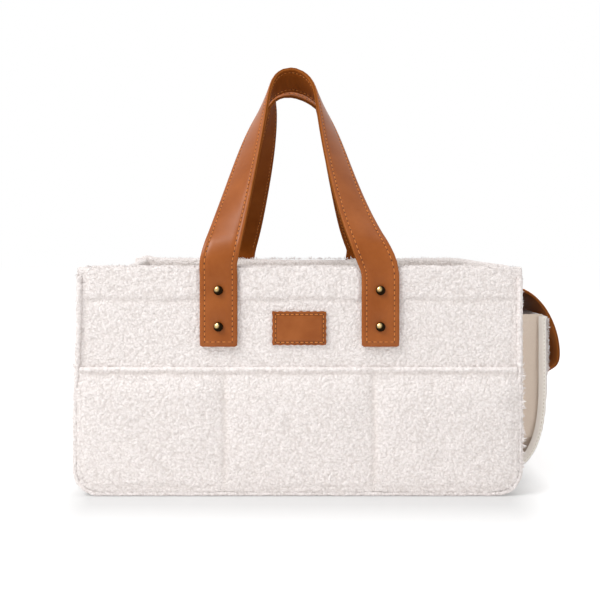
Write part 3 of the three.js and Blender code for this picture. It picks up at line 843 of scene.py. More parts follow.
# Tip, valley shade and seam colours; the last two paint shade into the pile's valleys and along seams and
# hems.
FLEECE_FINISH = PileFinish(
    "cream_fleece", "fleece", shade(252, 245, 243), shade(226, 217, 213), shade(230, 220, 214)
)
STRAP_FINISH = LeatherFinish(
    "tan_leather", "leather", shade(154, 84, 32), shade(139, 71, 18), shade(170, 102, 48), shade(44, 16, 2)
)
PATCH_FINISH = LeatherFinish(
    "patch_hide", "leather", shade(158, 88, 36), shade(137, 70, 20), shade(137, 72, 20), shade(46, 18, 3)
)
# Painted shade for the brass caps, away from their bright spot.
BRASS_PAINTED_SHADE = shade(30, 20, 10)
BRASS_FINISH = MottleFinish(
    "antique_brass", "brass", shade(240, 214, 158), shade(196, 156, 92), 420.0, 0.2, 0.05, 1.0, BRASS_PAINTED_SHADE
)
CANVAS_FINISH = WeaveFinish(
    "natural_canvas", "canvas", shade(242, 226, 210), shade(212, 192, 174), 0.8 * MM, True
)
WELT_FINISH = WeaveFinish("cream_welt", "canvas", shade(254, 249, 241), shade(242, 233, 223), 0.7 * MM, True)
LINING_FINISH = WeaveFinish("plain_lining", "lining", shade(242, 236, 226), shade(224, 215, 202), 0.6 * MM)
STITCH_FINISH = MottleFinish("orange_thread", "leather", shade(222, 142, 68), shade(190, 108, 42), 900.0)
# Painted shade: dark marks for the shade inside the needle holes.
HOLE_SHADE_FINISH = MottleFinish("needle_hole", "leather", shade(106, 56, 24), shade(84, 42, 16), 900.0)
SEAM_FINISH = MottleFinish("cream_thread", "canvas", shade(226, 214, 200), shade(196, 182, 166), 900.0)
TAPE_FINISH = MottleFinish(
    "woven_tape", "tape", shade(236, 231, 222), shade(206, 198, 186), 1400.0, 0.95, 0.9
)
INSERT_FINISH = MottleFinish("stiff_insert", "insert", shade(244, 242, 236), shade(228, 224, 214), 300.0)
BOARD_FINISH = MottleFinish("base_fibre", "board", shade(190, 170, 142), shade(162, 142, 112), 240.0)


def seat(piece: Piece, finish: Finish, body: str, *nodes: str) -> Piece:
    """Dresses a piece and sets it on its body, in place of its solids.

    Args:
        piece: the finished piece.
        finish: what it is made of.
        body: the body it rides on.
        nodes: the solids it stands for.

    Returns:
        The piece.
    """
    finish.dress(piece)
    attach(piece, body)
    if nodes:
        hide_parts(*nodes)
    return piece


@dataclass(frozen=True)
class Wave:
    """One size of lump in the pile."""

    name: str
    kind: str
    size: float
    lift: float
    middle: float

    def texture(self) -> bpy.types.Texture:
        """Gives the lump's texture, made at its first use.

        Returns:
            The texture that a Displace modifier reads.
        """
        made = bpy.data.textures.get(self.name)
        if made is None:
            made = bpy.data.textures.new(self.name, self.kind)
            made.noise_scale = self.size
        return made


@dataclass(frozen=True)
class Fleece:
    """Teddy fleece cloth: how it is fused from blocks and how its pile stands up."""

    voxel: float = 1.3 * MM
    waves: tuple[Wave, ...] = (
        Wave("fleece_swells", "CLOUDS", 18 * MM, 0.6 * MM, 0.5),
        Wave("fleece_curls", "VORONOI", 3.0 * MM, -1.2 * MM, 0.35),
        Wave("fleece_wisps", "CLOUDS", 1.8 * MM, 0.8 * MM, 0.5),
    )

    def fuse(self, piece: Piece, voxel: float | None = None) -> None:
        """Makes one soft-edged skin of joined blocks, on the cloth's own grid or another."""
        finish_with(piece, "REMESH", mode="VOXEL", voxel_size=voxel or self.voxel, use_smooth_shade=True)
        finish_with(piece, "SMOOTH", factor=0.5, iterations=3)

    def raise_pile(self, piece: Piece, calm: Array, seam: Array, tip_highlight: Array | float = 0) -> None:
        """Raises the curls and keeps their height and the seams for the material.

        Args:
            piece: the shaped piece.
            calm: how much of the pile stands up at each point.
            seam: how much of the seam colour each point takes: painted shade on seam and hem lines, and a
                faint tint on flanges.
            tip_highlight: how far each point is lifted towards the pale tip colour, a painted highlight.
        """
        before = read_points(piece)
        facing = read_normals(piece)
        weigh(piece, "pile_weight", calm)
        spread = {"texture_coords": "LOCAL", "direction": "NORMAL", "vertex_group": "pile_weight"}
        for wave in self.waves:
            reach = {"strength": wave.lift, "mid_level": wave.middle}
            finish_with(piece, "DISPLACE", texture=wave.texture(), **spread, **reach)
        piece.vertex_groups.clear()
        points = read_points(piece)
        lift = ((points - before) * facing).sum(axis=1)
        points[:, 2] = np.maximum(points[:, 2], 0)
        move_points(piece, points)
        # The stored lift lets the material paint shade into the pile's low places; the tip share lifts points
        # to the pale tip colour as a painted highlight.
        store(piece, pile=np.clip(0.5 + lift / (4 * lift.std()) + tip_highlight, 0, 1.5), seam=seam)
        choose(piece)
        bpy.ops.object.shade_smooth()

    def drape(self, piece: Piece, side: Side, calm: Array, seam: Array, tip_highlight: Array | float = 0) -> None:
        """Raises the pile of a piece made at the front, settles it and puts it on its side."""
        self.raise_pile(piece, calm, seam, tip_highlight)
        mirror_to(side, piece, settle(read_points(piece)))


@dataclass
class FleecePanel:
    """A long side in fleece: its outer face, the fold over the rim and the leaf turned down inside."""

    side: Side
    cloth: Fleece
    corner: float = 22 * MM
    seam_inset: float = 8 * MM
    seam_depth: float = 0.9 * MM
    flange_sink: float = 0.5 * MM
    hem_drop: float = 29.8 * MM
    hem_depth: float = 1.1 * MM
    hem_fold: float = 0.8 * MM
    corner_bump: float = 3 * MM
    rim_sag: float = 2.2 * MM
    rim_round: float = 5.6 * MM
    rim_height: float = 13 * MM
    leaf: float = 3.5 * MM
    leaf_step: float = 4.8 * MM
    pocket_line: tuple[float, float] = (100 * MM, 109 * MM)
    low: Vector = field(init=False)
    high: Vector = field(init=False)

    def __post_init__(self) -> None:
        """Reads the panel's corners, at the front."""
        self.low, self.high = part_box("front_shell")

    def build(self) -> list[Piece]:
        """Makes the panel.

        Returns:
            The panel alone.
        """
        low, high, word = self.low, self.high, self.side.word
        fold_low, fold_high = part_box("front_facing")
        panel = add_block("panel", low, (high.x, high.y, high.z - 1 * MM))
        round_edges(panel, self.corner, 8, along_axis(1, highest=TOUCH))
        rim_foot = high.z - self.rim_height
        rim = add_block("rim", (fold_low.x, low.y, rim_foot), (fold_high.x, fold_high.y, high.z))
        round_edges(rim, self.rim_round, 5, along_axis(0, lowest=high.z - TOUCH))
        leaf = add_block(
            "leaf",
            (fold_low.x + self.leaf_step, fold_high.y - self.leaf, fold_low.z),
            (fold_high.x - self.leaf_step, fold_high.y, high.z - self.rim_round),
        )
        piece = join(f"{word}_fleece", [panel, rim, leaf])
        self.cloth.fuse(piece)
        stand = self.calm(read_points(piece))
        self.cloth.drape(piece, self.side, stand, self.sew(piece))
        seat(piece, FLEECE_FINISH, "caddy", f"{word}_shell", f"{word}_facing")
        return [piece]

    def sew(self, piece: Piece) -> Array:
        """Pulls the seams in, flattens the band outside them and fills the folded hem.

        Args:
            piece: the fused panel.

        Returns:
            How much of the seam colour each point takes: painted shade on the seam and hem lines, and a faint
            tint on the flange.
        """
        points = read_points(piece)
        x, y, z = points.T
        top = self.high.z
        outer = 1 - ramp(y, self.low.y + 0.8 * MM, self.low.y + 2.6 * MM)
        inset = outline_inset(x, z, self.high.x, self.corner) + sway(x + 2 * z, 0.7 * MM)
        above = z - (top - self.hem_drop + sway(x, 0.9 * MM))
        seam = ridge(inset, self.seam_inset, 2.0 * MM)
        hem = ridge(above, 0, 2.2 * MM) * ramp(inset, 2 * MM, 5 * MM)
        flange = 1 - ramp(inset, self.seam_inset - 3 * MM, self.seam_inset)
        fold = self.hem_fold * ramp(above, 0, 3 * MM) * ramp(inset, 4 * MM, 9 * MM)
        press = np.maximum(self.seam_depth * seam, self.flange_sink * flange)
        points[:, 1] += outer * (np.maximum(press, self.hem_depth * hem) - fold * self.bare(points))
        if self.side is Side.BACK:
            bump = self.corner_bump * ridge(x, -178 * MM, 11 * MM) * ramp(z, 0.17, top)
            points[:, 2] += bump - self.rim_sag * ridge(x, 12 * MM, 95 * MM) * ramp(z, 0.16, top)
        move_points(piece, points)
        return outer * np.maximum(np.maximum(0.2 * seam, 0.25 * hem), 0.1 * flange)

    def bare(self, points: Array) -> Array:
        """Works out where no leather lies on the panel.

        Args:
            points: the panel's points.

        Returns:
            A share from 0 to 1 for each point.
        """
        bare = np.ones(len(points))
        nodes = ["front_tab_left", "front_tab_right"]
        if self.side is Side.FRONT:
            nodes.append("front_patch")
        for node in nodes:
            low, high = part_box(node)
            gap = np.hypot(outside(points[:, 0], low.x, high.x), outside(points[:, 2], low.z, high.z))
            bare *= ramp(gap, 0, 3 * MM)
        return bare

    def calm(self, points: Array) -> Array:
        """Works out where the pile lies flat: in seams, under the leather and on hidden faces.

        Args:
            points: the panel's points.

        Returns:
            A share from 0 to 1 for each point.
        """
        x, y, z = points.T
        back, top = self.high.y, self.high.z
        inset = outline_inset(x, z, self.high.x, self.corner)
        stand = 1 - 0.5 * ridge(inset, self.seam_inset, 1.8 * MM)
        stand *= 1 - 0.4 * ridge(z, top - self.hem_drop, 1.8 * MM)
        hidden = ramp(y, back - 1 * MM, back) * (z < top - 5 * MM)
        inside = ramp(y, back + 6 * MM, back + 8 * MM)
        stand *= 1 - hidden * (1 - 0.6 * inside)
        stand *= 1 - 0.8 * (1 - ramp(z, *self.pocket_line)) * (inset > 6 * MM)
        return stand * self.bare(points)


@dataclass
class PocketRow:
    """Three sewn pockets in one strip of fleece, with a rolled hem along the top."""

    side: Side
    cloth: Fleece
    count: int = 3
    corner: float = 18 * MM
    thickness: float = 3 * MM
    hem: float = 5.5 * MM
    roll: float = 1.6 * MM
    slack: float = 0.6
    tuck: float = 1.4 * MM
    seam_inset: float = 4.2 * MM
    seam_sink: float = 0.9 * MM
    seam_width: float = 2.8 * MM
    low: Vector = field(init=False)
    high: Vector = field(init=False)
    body_half: float = field(init=False)

    def __post_init__(self) -> None:
        """Reads the strip's corners and the body's width, at the front."""
        self.low, self.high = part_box("front_pocket_strip")
        self.body_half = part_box("front_shell")[1].x

    def build(self) -> list[Piece]:
        """Makes the strip.

        Returns:
            The strip alone.
        """
        piece = lay_grid(f"{self.side.word}_pockets", 132, 40, self.lay)
        finish_with(piece, "SOLIDIFY", thickness=self.thickness, offset=1)
        self.cloth.fuse(piece)
        seam = self.roll_hem(piece)
        points = read_points(piece)
        # Painted highlight: the top edge is lifted to the pale tip colour and kept free of the seam colour.
        edge = ridge(points[:, 2], self.high.z - 0.9 * MM, 1.2 * MM)
        calm = self.calm(points) * (1 - 0.7 * edge)
        self.cloth.drape(piece, self.side, calm, seam * (1 - edge), 0.9 * edge)
        seat(piece, FLEECE_FINISH, "caddy", f"{self.side.word}_pocket_strip")
        return [piece]

    def lay(self, u: Array, v: Array) -> Array:
        """Lays the strip on the panel: flat at the seams and the foot, eased out between them.

        Args:
            u: shares along the row.
            v: shares up the strip.

        Returns:
            The places of the strip's inner face.
        """
        low, high, body_half = self.low, self.high, self.body_half
        ease = self.slack * (high.y - low.y - self.thickness)
        rise = (high.z - low.z) * v
        edge = high.x - corner_draw(rise, self.corner)
        pocket = np.minimum(np.floor(u * self.count), self.count - 1)
        across = u * self.count - pocket
        pitch = 2 * body_half / self.count
        left = np.where(pocket == 0, -edge, pitch * pocket - body_half)
        right = np.where(pocket == self.count - 1, edge, pitch * (pocket + 1) - body_half)
        closing = ramp(v, 0.76, 0.98)
        fullness = (1 - np.abs(2 * across - 1) ** 4) * (1 - (1 - v) ** 3) * (1 - closing)
        y = high.y - ease * fullness + self.tuck * closing
        return rows(left + (right - left) * across, y, low.z + rise)

    def seams(self, x: Array) -> Array:
        """Finds the seams between the pockets: 1 on a seam and 0 away from it."""
        lines = np.arange(1, self.count) * 2 * self.body_half / self.count - self.body_half
        return np.maximum.reduce([ridge(x, line, self.seam_width) for line in lines])

    def roll_hem(self, piece: Piece) -> Array:
        """Rounds the hem and pulls in its stitch line, the seams between the pockets and the border.

        Args:
            piece: the fused strip.

        Returns:
            How much of the seam colour each point takes: painted shade on the seams and the hem's stitch
            line, and a faint tint on the border.
        """
        points = read_points(piece)
        outer = ramp(-read_normals(piece)[:, 1], 0.2, 0.7)
        x, z = points[:, 0], points[:, 2]
        top = self.high.z
        inset = outline_inset(x, z - self.low.z, self.high.x, self.corner) + sway(x + 2 * z, 0.6 * MM)
        border = np.maximum(ridge(inset, self.seam_inset, 1.8 * MM), 1 - ramp(inset, 1 * MM, self.seam_inset))
        roll = self.roll * ridge(z, top - 0.42 * self.hem, 0.42 * self.hem)
        line = ridge(z + sway(x, 0.5 * MM), top - self.hem, 1.6 * MM)
        seams = self.seams(x + sway(z, 0.6 * MM))
        pull = 0.8 * MM * line + 1.0 * MM * seams
        points[:, 1] += outer * (np.maximum(pull, self.seam_sink * border) - roll)
        move_points(piece, points)
        return outer * np.maximum(np.maximum(0.4 * seams, 0.4 * line), 0.1 * border)

    def calm(self, points: Array) -> Array:
        """Works out where the pile lies flat: at the seams, the hem and inside.

        Args:
            points: the strip's points.

        Returns:
            A share from 0 to 1 for each point.
        """
        x, z = points[:, 0], points[:, 2]
        stand = 1 - 0.5 * self.seams(x)
        stand *= 1 - 0.5 * ridge(z, self.high.z - self.hem, 1.4 * MM)
        inset = outline_inset(x, z - self.low.z, self.high.x, self.corner)
        return stand * (0.5 + 0.5 * ramp(inset, 0.5 * MM, 4 * MM))


@dataclass
class EdgePiping:
    """A roll of fleece sewn round the edge of a long side, from rim to rim."""

    side: Side
    cloth: Fleece
    radius: float = 2.5 * MM
    corner: float = 19.5 * MM
    rim_gap: float = 9 * MM
    sink: float = 0.4 * MM
    pile: float = 0.55
    roundness: float = 0.5523

    def build(self) -> list[Piece]:
        """Makes the piping.

        Returns:
            The piping alone.
        """
        low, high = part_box("front_shell")
        line = self.outline(high.x - self.radius, self.radius, high.z - self.rim_gap)

        def wind(around: Array, down: Array) -> Array:
            """Winds a grid into a roll along the course."""
            plane = line.beside(down * line.length, self.radius * np.cos(2 * HALF_TURN * around))
            return upright(plane, low.y + self.sink + self.radius * np.sin(2 * HALF_TURN * around))

        piece = lay_grid(f"{self.side.word}_piping", 14, 720, wind)
        pick_all(piece)
        bpy.ops.mesh.remove_doubles(threshold=0.1 * TOUCH)
        bpy.ops.mesh.fill_holes(sides=0)
        leave()
        face_outwards(piece)
        count = len(piece.data.vertices)
        self.cloth.drape(piece, self.side, np.full(count, self.pile), np.zeros(count))
        return [seat(piece, FLEECE_FINISH, "caddy")]

    def outline(self, half: float, foot: float, top: float) -> Track:
        """Draws the piping's course down one side, under the panel and up the other.

        Args:
            half: its distance from the middle.
            foot: its height at the foot.
            top: the height at which it goes in under the rim.

        Returns:
            The course in X and Z.
        """
        straight = half - self.corner
        rise = foot + self.corner
        pull = (1 - self.roundness) * self.corner
        up = [(half, top), (half, rise)]
        bend = [(half, rise), (half, foot + pull), (half - pull, foot), (straight, foot)]
        left = [[(-x, z) for x, z in stretch] for stretch in (up, bend)]
        return Track([*left, [(-straight, foot), (straight, foot)], bend[::-1], up[::-1]])


def trough(name: str, low: Spot, high: Spot, radius: float, thickness: float) -> Piece:
    """Makes a layer that runs down one end, under the floor and up the other end.

    Args:
        name: the piece's name.
        low: its lowest outer corner.
        high: its highest outer corner.
        radius: the outer rounding of its lower corners.
        thickness: the layer's thickness.

    Returns:
        The layer as a closed shell.
    """
    piece = add_block(name, low, high)
    round_edges(piece, radius, 8, along_axis(1, highest=low[2] + TOUCH))
    pick(piece, Part.FACES, lambda middle, facing: abs(facing.y) > SQUARE or facing.z > SQUARE)
    bpy.ops.mesh.delete(type="FACE")
    leave()
    finish_with(piece, "SOLIDIFY", thickness=thickness, offset=-1)
    return piece


@dataclass
class FleeceWrap:
    """The ends and underside in one wrap of fleece, with lips at the seams and a fold over each end's rim."""

    cloth: Fleece
    voxel: float = 2.0 * MM
    corner: float = 22 * MM
    thickness: float = 4 * MM
    lip: float = 3 * MM
    lip_reach: float = 5.5 * MM
    rim_round: float = 4.5 * MM
    rim_height: float = 13 * MM
    leaf: float = 3.5 * MM
    low: Vector = field(init=False)
    high: Vector = field(init=False)
    end: float = field(init=False)

    def __post_init__(self) -> None:
        """Reads the wrap's corners and the end wall's outer face."""
        self.low, self.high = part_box("wrap_shell")
        self.end = self.high.x - self.lip_reach

    def build(self) -> list[Piece]:
        """Makes the wrap.

        Returns:
            The wrap alone.
        """
        low, high, end = self.low, self.high, self.end
        top = high.z - 1.5 * MM
        skin = trough("skin", (-end, low.y, 0), (end, high.y, top), self.corner, self.thickness)
        piece = join("wrap_fleece", [skin, *self.lips(), *self.rims()])
        self.cloth.fuse(piece, self.voxel)
        points = read_points(piece)
        points[:, 2] -= left_drop(points, high.y - self.lip, 0.12, 0.17)
        move_points(piece, points)
        lips = 0.5 * ramp(np.abs(points[:, 0]), end, end + 2 * MM)
        self.cloth.drape(piece, Side.FRONT, self.calm(points), lips)
        seat(piece, FLEECE_FINISH, "caddy", "wrap_shell", "left_facing", "right_facing")
        return [piece]

    def lips(self) -> list[Piece]:
        """Makes the seam lips that stand out behind the front and back panels.

        Returns:
            The two lips.
        """
        low, high = self.low, self.high
        inner = self.end - self.thickness / 2
        made = []
        for start in (low.y, high.y - self.lip):
            lip = add_block("lip", (low.x, start, 0), (high.x, start + self.lip, high.z - 1 * MM))
            round_edges(lip, self.corner, 8, along_axis(1, highest=TOUCH))
            corners = (-inner, low.y - self.lip, self.lip), (inner, high.y + self.lip, 2 * high.z)
            hollow = add_block("hollow", *corners)
            finish_with(lip, "BOOLEAN", object=hollow, operation="DIFFERENCE", solver="EXACT")
            bpy.data.objects.remove(hollow)
            made.append(lip)
        return made

    def rims(self) -> list[Piece]:
        """Makes the rounded fold over each end's rim and its leaf inside.

        Returns:
            Two folds and two leaves.
        """
        top = self.high.z
        fold_low, fold_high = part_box("right_facing")
        made = []
        for sign in (-1, 1):
            left, right = sorted((sign * fold_low.x, sign * self.end))
            foot = top - self.rim_height
            fold = add_block("fold", (left, fold_low.y, foot), (right, fold_high.y, top))
            round_edges(fold, self.rim_round, 5, along_axis(1, lowest=top - TOUCH))
            left, right = sorted((sign * fold_low.x, sign * (fold_low.x + self.leaf)))
            corners = (left, fold_low.y, fold_low.z), (right, fold_high.y, top - self.rim_round)
            made.extend((fold, add_block("leaf", *corners)))
        return made

    def calm(self, points: Array) -> Array:
        """Works out where the pile lies flat: underneath, in the seams, inside and under the flap's strip.

        Args:
            points: the wrap's points.

        Returns:
            A share from 0 to 1 for each point.
        """
        x, y, z = points.T
        stand = 0.15 + 0.85 * ramp(z, 2 * MM, 12 * MM)
        wall = self.end - np.abs(x)
        hidden = ramp(wall, 2.5 * MM, 3.5 * MM) * (1 - ramp(wall, 10 * MM, 11.5 * MM))
        stand *= 1 - hidden * (z < self.high.z - 8 * MM)
        stand *= 1 - 0.6 * ramp(-wall, 0.5 * MM, 2 * MM)
        low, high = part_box("flap_seam_strip")
        gap = np.hypot(outside(y, -high.y, high.y), outside(z, low.z, high.z))
        return stand * (1 - (1 - ramp(gap, 0, 3 * MM)) * (x > END_WALL[1]))


def strew(name: str, model: Piece, turns: Array, spots: Array) -> Piece:
    """Sets copies of one small shape in many places, as one piece.

    Args:
        name: the new piece's name.
        model: the shape, which is used up.
        turns: a 3 by 3 turn and scale for each copy.
        spots: the place of each copy.

    Returns:
        The copies as one piece.
    """
    shape = read_points(model)
    faces = [list(face.vertices) for face in model.data.polygons]
    bpy.data.objects.remove(model)
    points = (np.einsum("nij,pj->npi", turns, shape) + spots[:, None]).reshape(-1, 3)
    starts = range(0, len(points), len(shape))
    mesh = bpy.data.meshes.new(name)
    mesh.from_pydata(points.tolist(), [], [[start + i for i in face] for start in starts for face in faces])
    piece = bpy.data.objects.new(name, mesh)
    bpy.context.scene.collection.objects.link(piece)
    return piece


def sew(name: str, spots: Array, length: float, width: float, height: float) -> Piece:
    """Sets copies of one stitch along a line on a flat cut.

    Args:
        name: the row's name.
        spots: a row of X, Y, Z and angle for each stitch.
        length: a stitch's length.
        width: its width.
        height: how far it stands up on each side of its middle.

    Returns:
        The stitches as one piece, on the flat.
    """
    deselect()
    bpy.ops.mesh.primitive_uv_sphere_add(
        segments=6, ring_count=5, radius=0.5, rotation=(0, QUARTER_TURN, 0), scale=(2 * height, width, length)
    )
    cosine, sine = np.cos(spots[:, 3]), np.sin(spots[:, 3])
    turns = np.zeros((len(spots), 3, 3))
    turns[:, 0, 0] = turns[:, 1, 1] = cosine
    turns[:, 1, 0] = sine
    turns[:, 0, 1] = -sine
    turns[:, 2, 2] = 1
    return strew(name, claim("stitch"), turns, spots[:, :3])


def topstitch(name: str, spots: Array, pitch: float, form: Form) -> list[Piece]:
    """Sews stitches through leather, with dark marks between them that paint the shade in the needle holes.

    Args:
        name: the leather's name.
        spots: a row of X, Y, Z and angle for each stitch, on the flat.
        pitch: the distance from one stitch to the next.
        form: bends points of the flat leather into its form.

    Returns:
        The stitches and the dark marks of painted shade in the needle holes.
    """
    holes = spots.copy()
    holes[:, :2] += 0.5 * pitch * rows(np.cos(spots[:, 3]), np.sin(spots[:, 3]))
    stitches = sew(f"{name}_stitches", spots, 0.74 * pitch, 0.8 * MM, 0.42 * MM)
    hole_shades = sew(f"{name}_holes", holes, 1.3 * MM, 1.2 * MM, 0.26 * MM)
    for piece, finish in ((stitches, STITCH_FINISH), (hole_shades, HOLE_SHADE_FINISH)):
        move_points(piece, form(read_points(piece)))
        face_outwards(piece)
        finish.dress(piece)
    return [stitches, hole_shades]


def stitch_line(corners: Sequence[tuple[float, float]], pitch: float, height: float) -> Array:
    """Spaces stitches evenly along a line on a flat cut.

    Args:
        corners: the line's points in X and Y.
        pitch: the distance from one stitch to the next.
        height: the stitches' height above the flat.

    Returns:
        A row of X, Y, Z and angle for each stitch.
    """
    line = np.array(corners, dtype=float)
    run = np.r_[0, np.cumsum(np.hypot(*np.diff(line, axis=0).T))]
    count = max(int(round(run[-1] / pitch)), 1)
    spots = (np.arange(count) + 0.5) * run[-1] / count
    x, y = (np.interp(spots, run, column) for column in line.T)
    leg = np.clip(np.searchsorted(run, spots) - 1, 0, len(line) - 2)
    step = line[leg + 1] - line[leg]
    return rows(x, y, np.full(count, height), np.arctan2(step[:, 1], step[:, 0]))


def stitch_border(low: Spot, high: Spot, pitch: float, height: float) -> list[Array]:
    """Spaces stitches along the four sides of a rectangle on a flat cut, from its lower corner."""
    border = [(low[0], low[1]), (high[0], low[1]), (high[0], high[1]), (low[0], high[1]), (low[0], low[1])]
    return [stitch_line(border[leg : leg + 2], pitch, height) for leg in range(4)]


@dataclass(frozen=True)
class Leg:
    """One leg of a loop, in millimetres: its place, lean and pull at the crown and at its foot."""

    top: float
    top_lean: float
    top_pull: float
    foot_rise: float
    foot_shift: float
    foot_lean: float
    foot_pull: float

    def points(self, side: int, foot: float, start: float, shoulder: float, crown: float) -> list[Spot]:
        """Gives the leg's curve points in millimetres, from its foot on the tab to the pull into the crown.

        Args:
            side: -1 for the left leg, 1 for the right one.
            foot: the foot's distance from the middle.
            start: the height at which the foot leaves the tab.
            shoulder: the crown's foot.
            crown: the pull into the crown.

        Returns:
            Eight points of X and climb.
        """
        bend = 0.35 * (self.foot_rise - start)
        ankle = side * (foot - self.foot_shift)
        return [
            [side * foot, start],
            [side * foot, start + bend],
            [ankle + side * self.foot_lean * bend, self.foot_rise - bend],
            [ankle, self.foot_rise],
            [ankle - side * self.foot_lean * self.foot_pull, self.foot_rise + self.foot_pull],
            [self.top + side * self.top_lean * self.top_pull, shoulder - self.top_pull],
            [self.top, shoulder],
            [self.top - side * self.top_lean * crown, shoulder + crown],
        ]


@dataclass(frozen=True)
class Loop:
    """The course of a handle's free loop, in millimetres."""

    rise: float
    crown_rise: float
    left: Leg
    right: Leg


FRONT_LOOP = Loop(
    211.9, 19.7, Leg(-30.1, 0.38, 32.9, 4, 0.3, 0.237, 46.5), Leg(16, 0.49, 24.4, 8.9, 6, 0.431, 62.3)
)
BACK_LOOP = Loop(
    208.2, 23.2, Leg(-30.2, 0.02, 22.5, 17.4, 4.3, 0.33, 23.4), Leg(21.1, 0.502, 29.4, 15.1, 0.4, 0.508, 26.7)
)


@dataclass
class HandleStrap:
    """A two-ply leather strap with topstitched edges: two tabs and a loop turned on edge at its crown."""

    side: Side
    loop: Loop
    width: float = 32 * MM
    thickness: float = 3.5 * MM
    spacing: float = 138 * MM
    rim_run: float = 2 * MM
    rim_bend: float = 40 * MM
    crown_pulls: tuple[float, float] = (1.54, 1.1)
    twist_lag: float = 0.1
    twist_ease: float = 0.08
    middle_gap: float = 0.3 * MM
    stitch_inset: float = 4.2 * MM
    stitch_pitch: float = 4.4 * MM
    crown: float = 0.5 * MM
    dimple_depth: float = 1.9 * MM
    dimple_radius: float = 6.8 * MM
    tab_corner: float = 2 * MM
    ease: float = 14 * MM
    fold: tuple[float, float] = (0.1835, 0.1995)
    rings: int = 239
    columns: tuple[float, ...] = (16, 15.6, 15, 13.4, 12.4, 11.8, 11.2, 10, 7.5, 4)
    track: Track = field(init=False)
    rise: float = field(init=False)
    lean: float = field(init=False)
    foot_height: float = field(init=False)
    back: float = field(init=False)
    tab_foot: float = field(init=False)

    def __post_init__(self) -> None:
        """Works out the strap's course and how far the loop leans over the opening."""
        tab_low, tab_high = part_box("front_tab_left")
        self.rise = self.loop.rise * MM
        self.foot_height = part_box("front_shell")[1].z + self.rim_run
        self.back = tab_high.y - self.thickness / 2
        self.tab_foot = tab_low.z - self.foot_height
        self.track = self.course(tab_high.z + self.middle_gap - self.foot_height)
        self.lean = self.resting_lean()

    def course(self, start: float) -> Track:
        """Draws the strap's flat course from tab to tab.

        Args:
            start: the climb at which the feet leave their tabs.

        Returns:
            The course in X and climb.
        """
        foot = self.spacing / 2
        shoulder = self.loop.rise - self.loop.crown_rise
        legs = []
        for side, leg, pull in zip((-1, 1), (self.loop.left, self.loop.right), self.crown_pulls):
            crown = pull * self.loop.crown_rise
            legs.append(np.array(leg.points(side, foot / MM, start / MM, shoulder, crown)) * MM)
        left, right = legs
        return Track(
            [
                ((-foot, self.tab_foot), (-foot, start)),
                left[:4],
                left[3:7],
                (left[6], left[7], right[7], right[6]),
                right[6:2:-1],
                right[3::-1],
                ((foot, start), (foot, self.tab_foot)),
            ],
            self.ease,
        )

    def leaning(self, lean: float, climb: Array) -> tuple[Array, Array, Array]:
        """Places the course in the side view: up past the rim, round a bend, then straight at the lean.

        Args:
            lean: the loop's lean over the opening.
            climb: distances up the flat course.

        Returns:
            Y, Z and the turn at each distance.
        """
        turn = np.clip(climb / self.rim_bend, 0, lean)
        past = np.maximum(climb - self.rim_bend * lean, 0)
        y = self.back + self.rim_bend * (1 - np.cos(turn)) + past * math.sin(lean)
        z = self.foot_height + np.minimum(climb, 0) + self.rim_bend * np.sin(turn) + past * math.cos(lean)
        return y, z, turn

    def resting_lean(self) -> float:
        """Finds the lean at which the crown just stops short of the middle plane.

        Returns:
            The lean in radians.
        """
        low, high = 0.0, 0.45 * HALF_TURN
        for _ in range(40):
            lean = (low + high) / 2
            edge = self.width / 2 * math.cos(lean) + self.thickness / 2 * math.sin(lean)
            crown_y = self.leaning(lean, np.array([self.rise]))[0][0]
            if crown_y + edge < -self.middle_gap:
                low = lean
            else:
                high = lean
        return low

    def form(self, flat: Array) -> Array:
        """Bends points of the flat strap into its hanging form.

        Args:
            flat: distance along, place across and height over the middle, for each point.

        Returns:
            The points' places on the caddy.
        """
        x, climb = self.track.at(flat[:, 0]).T
        step_x, step_climb = self.track.heading(flat[:, 0]).T
        y, z, turn = self.leaning(self.lean, climb)
        sine, cosine = np.sin(turn), np.cos(turn)
        along = rows(step_x, step_climb * sine, step_climb * cosine)
        along /= np.linalg.norm(along, axis=1, keepdims=True)
        facing = rows(np.zeros_like(turn), -cosine, sine)
        outwards = np.cross(facing, along)
        share = HALF_TURN * np.clip(climb / self.rise, 0, 1)[:, None]
        twist = share / 2 - self.twist_lag * np.sin(share) + self.twist_ease * np.sin(2 * share)
        normal = facing * np.cos(twist) + outwards * np.sin(twist)
        across = np.cross(along, normal)
        formed = rows(x, y, z) + across * flat[:, 1:2] + normal * flat[:, 2:3]
        return formed * (1, self.side.value, 1)

    def build(self) -> list[Piece]:
        """Makes the strap and its stitches.

        Returns:
            The strap and the stitches.
        """
        word = self.side.word
        strap = self.cut_strap()
        flat = read_points(strap)
        self.mark(strap, flat)
        move_points(strap, self.form(flat))
        face_outwards(strap)
        STRAP_FINISH.dress(strap)
        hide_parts(f"{word}_tab_left", f"{word}_tab_right", f"{word}_handle_loop")
        pieces = [strap, *topstitch(f"{word}_strap", self.stitch_spots(), self.stitch_pitch, self.form)]
        for piece in pieces:
            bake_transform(piece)
        return pieces

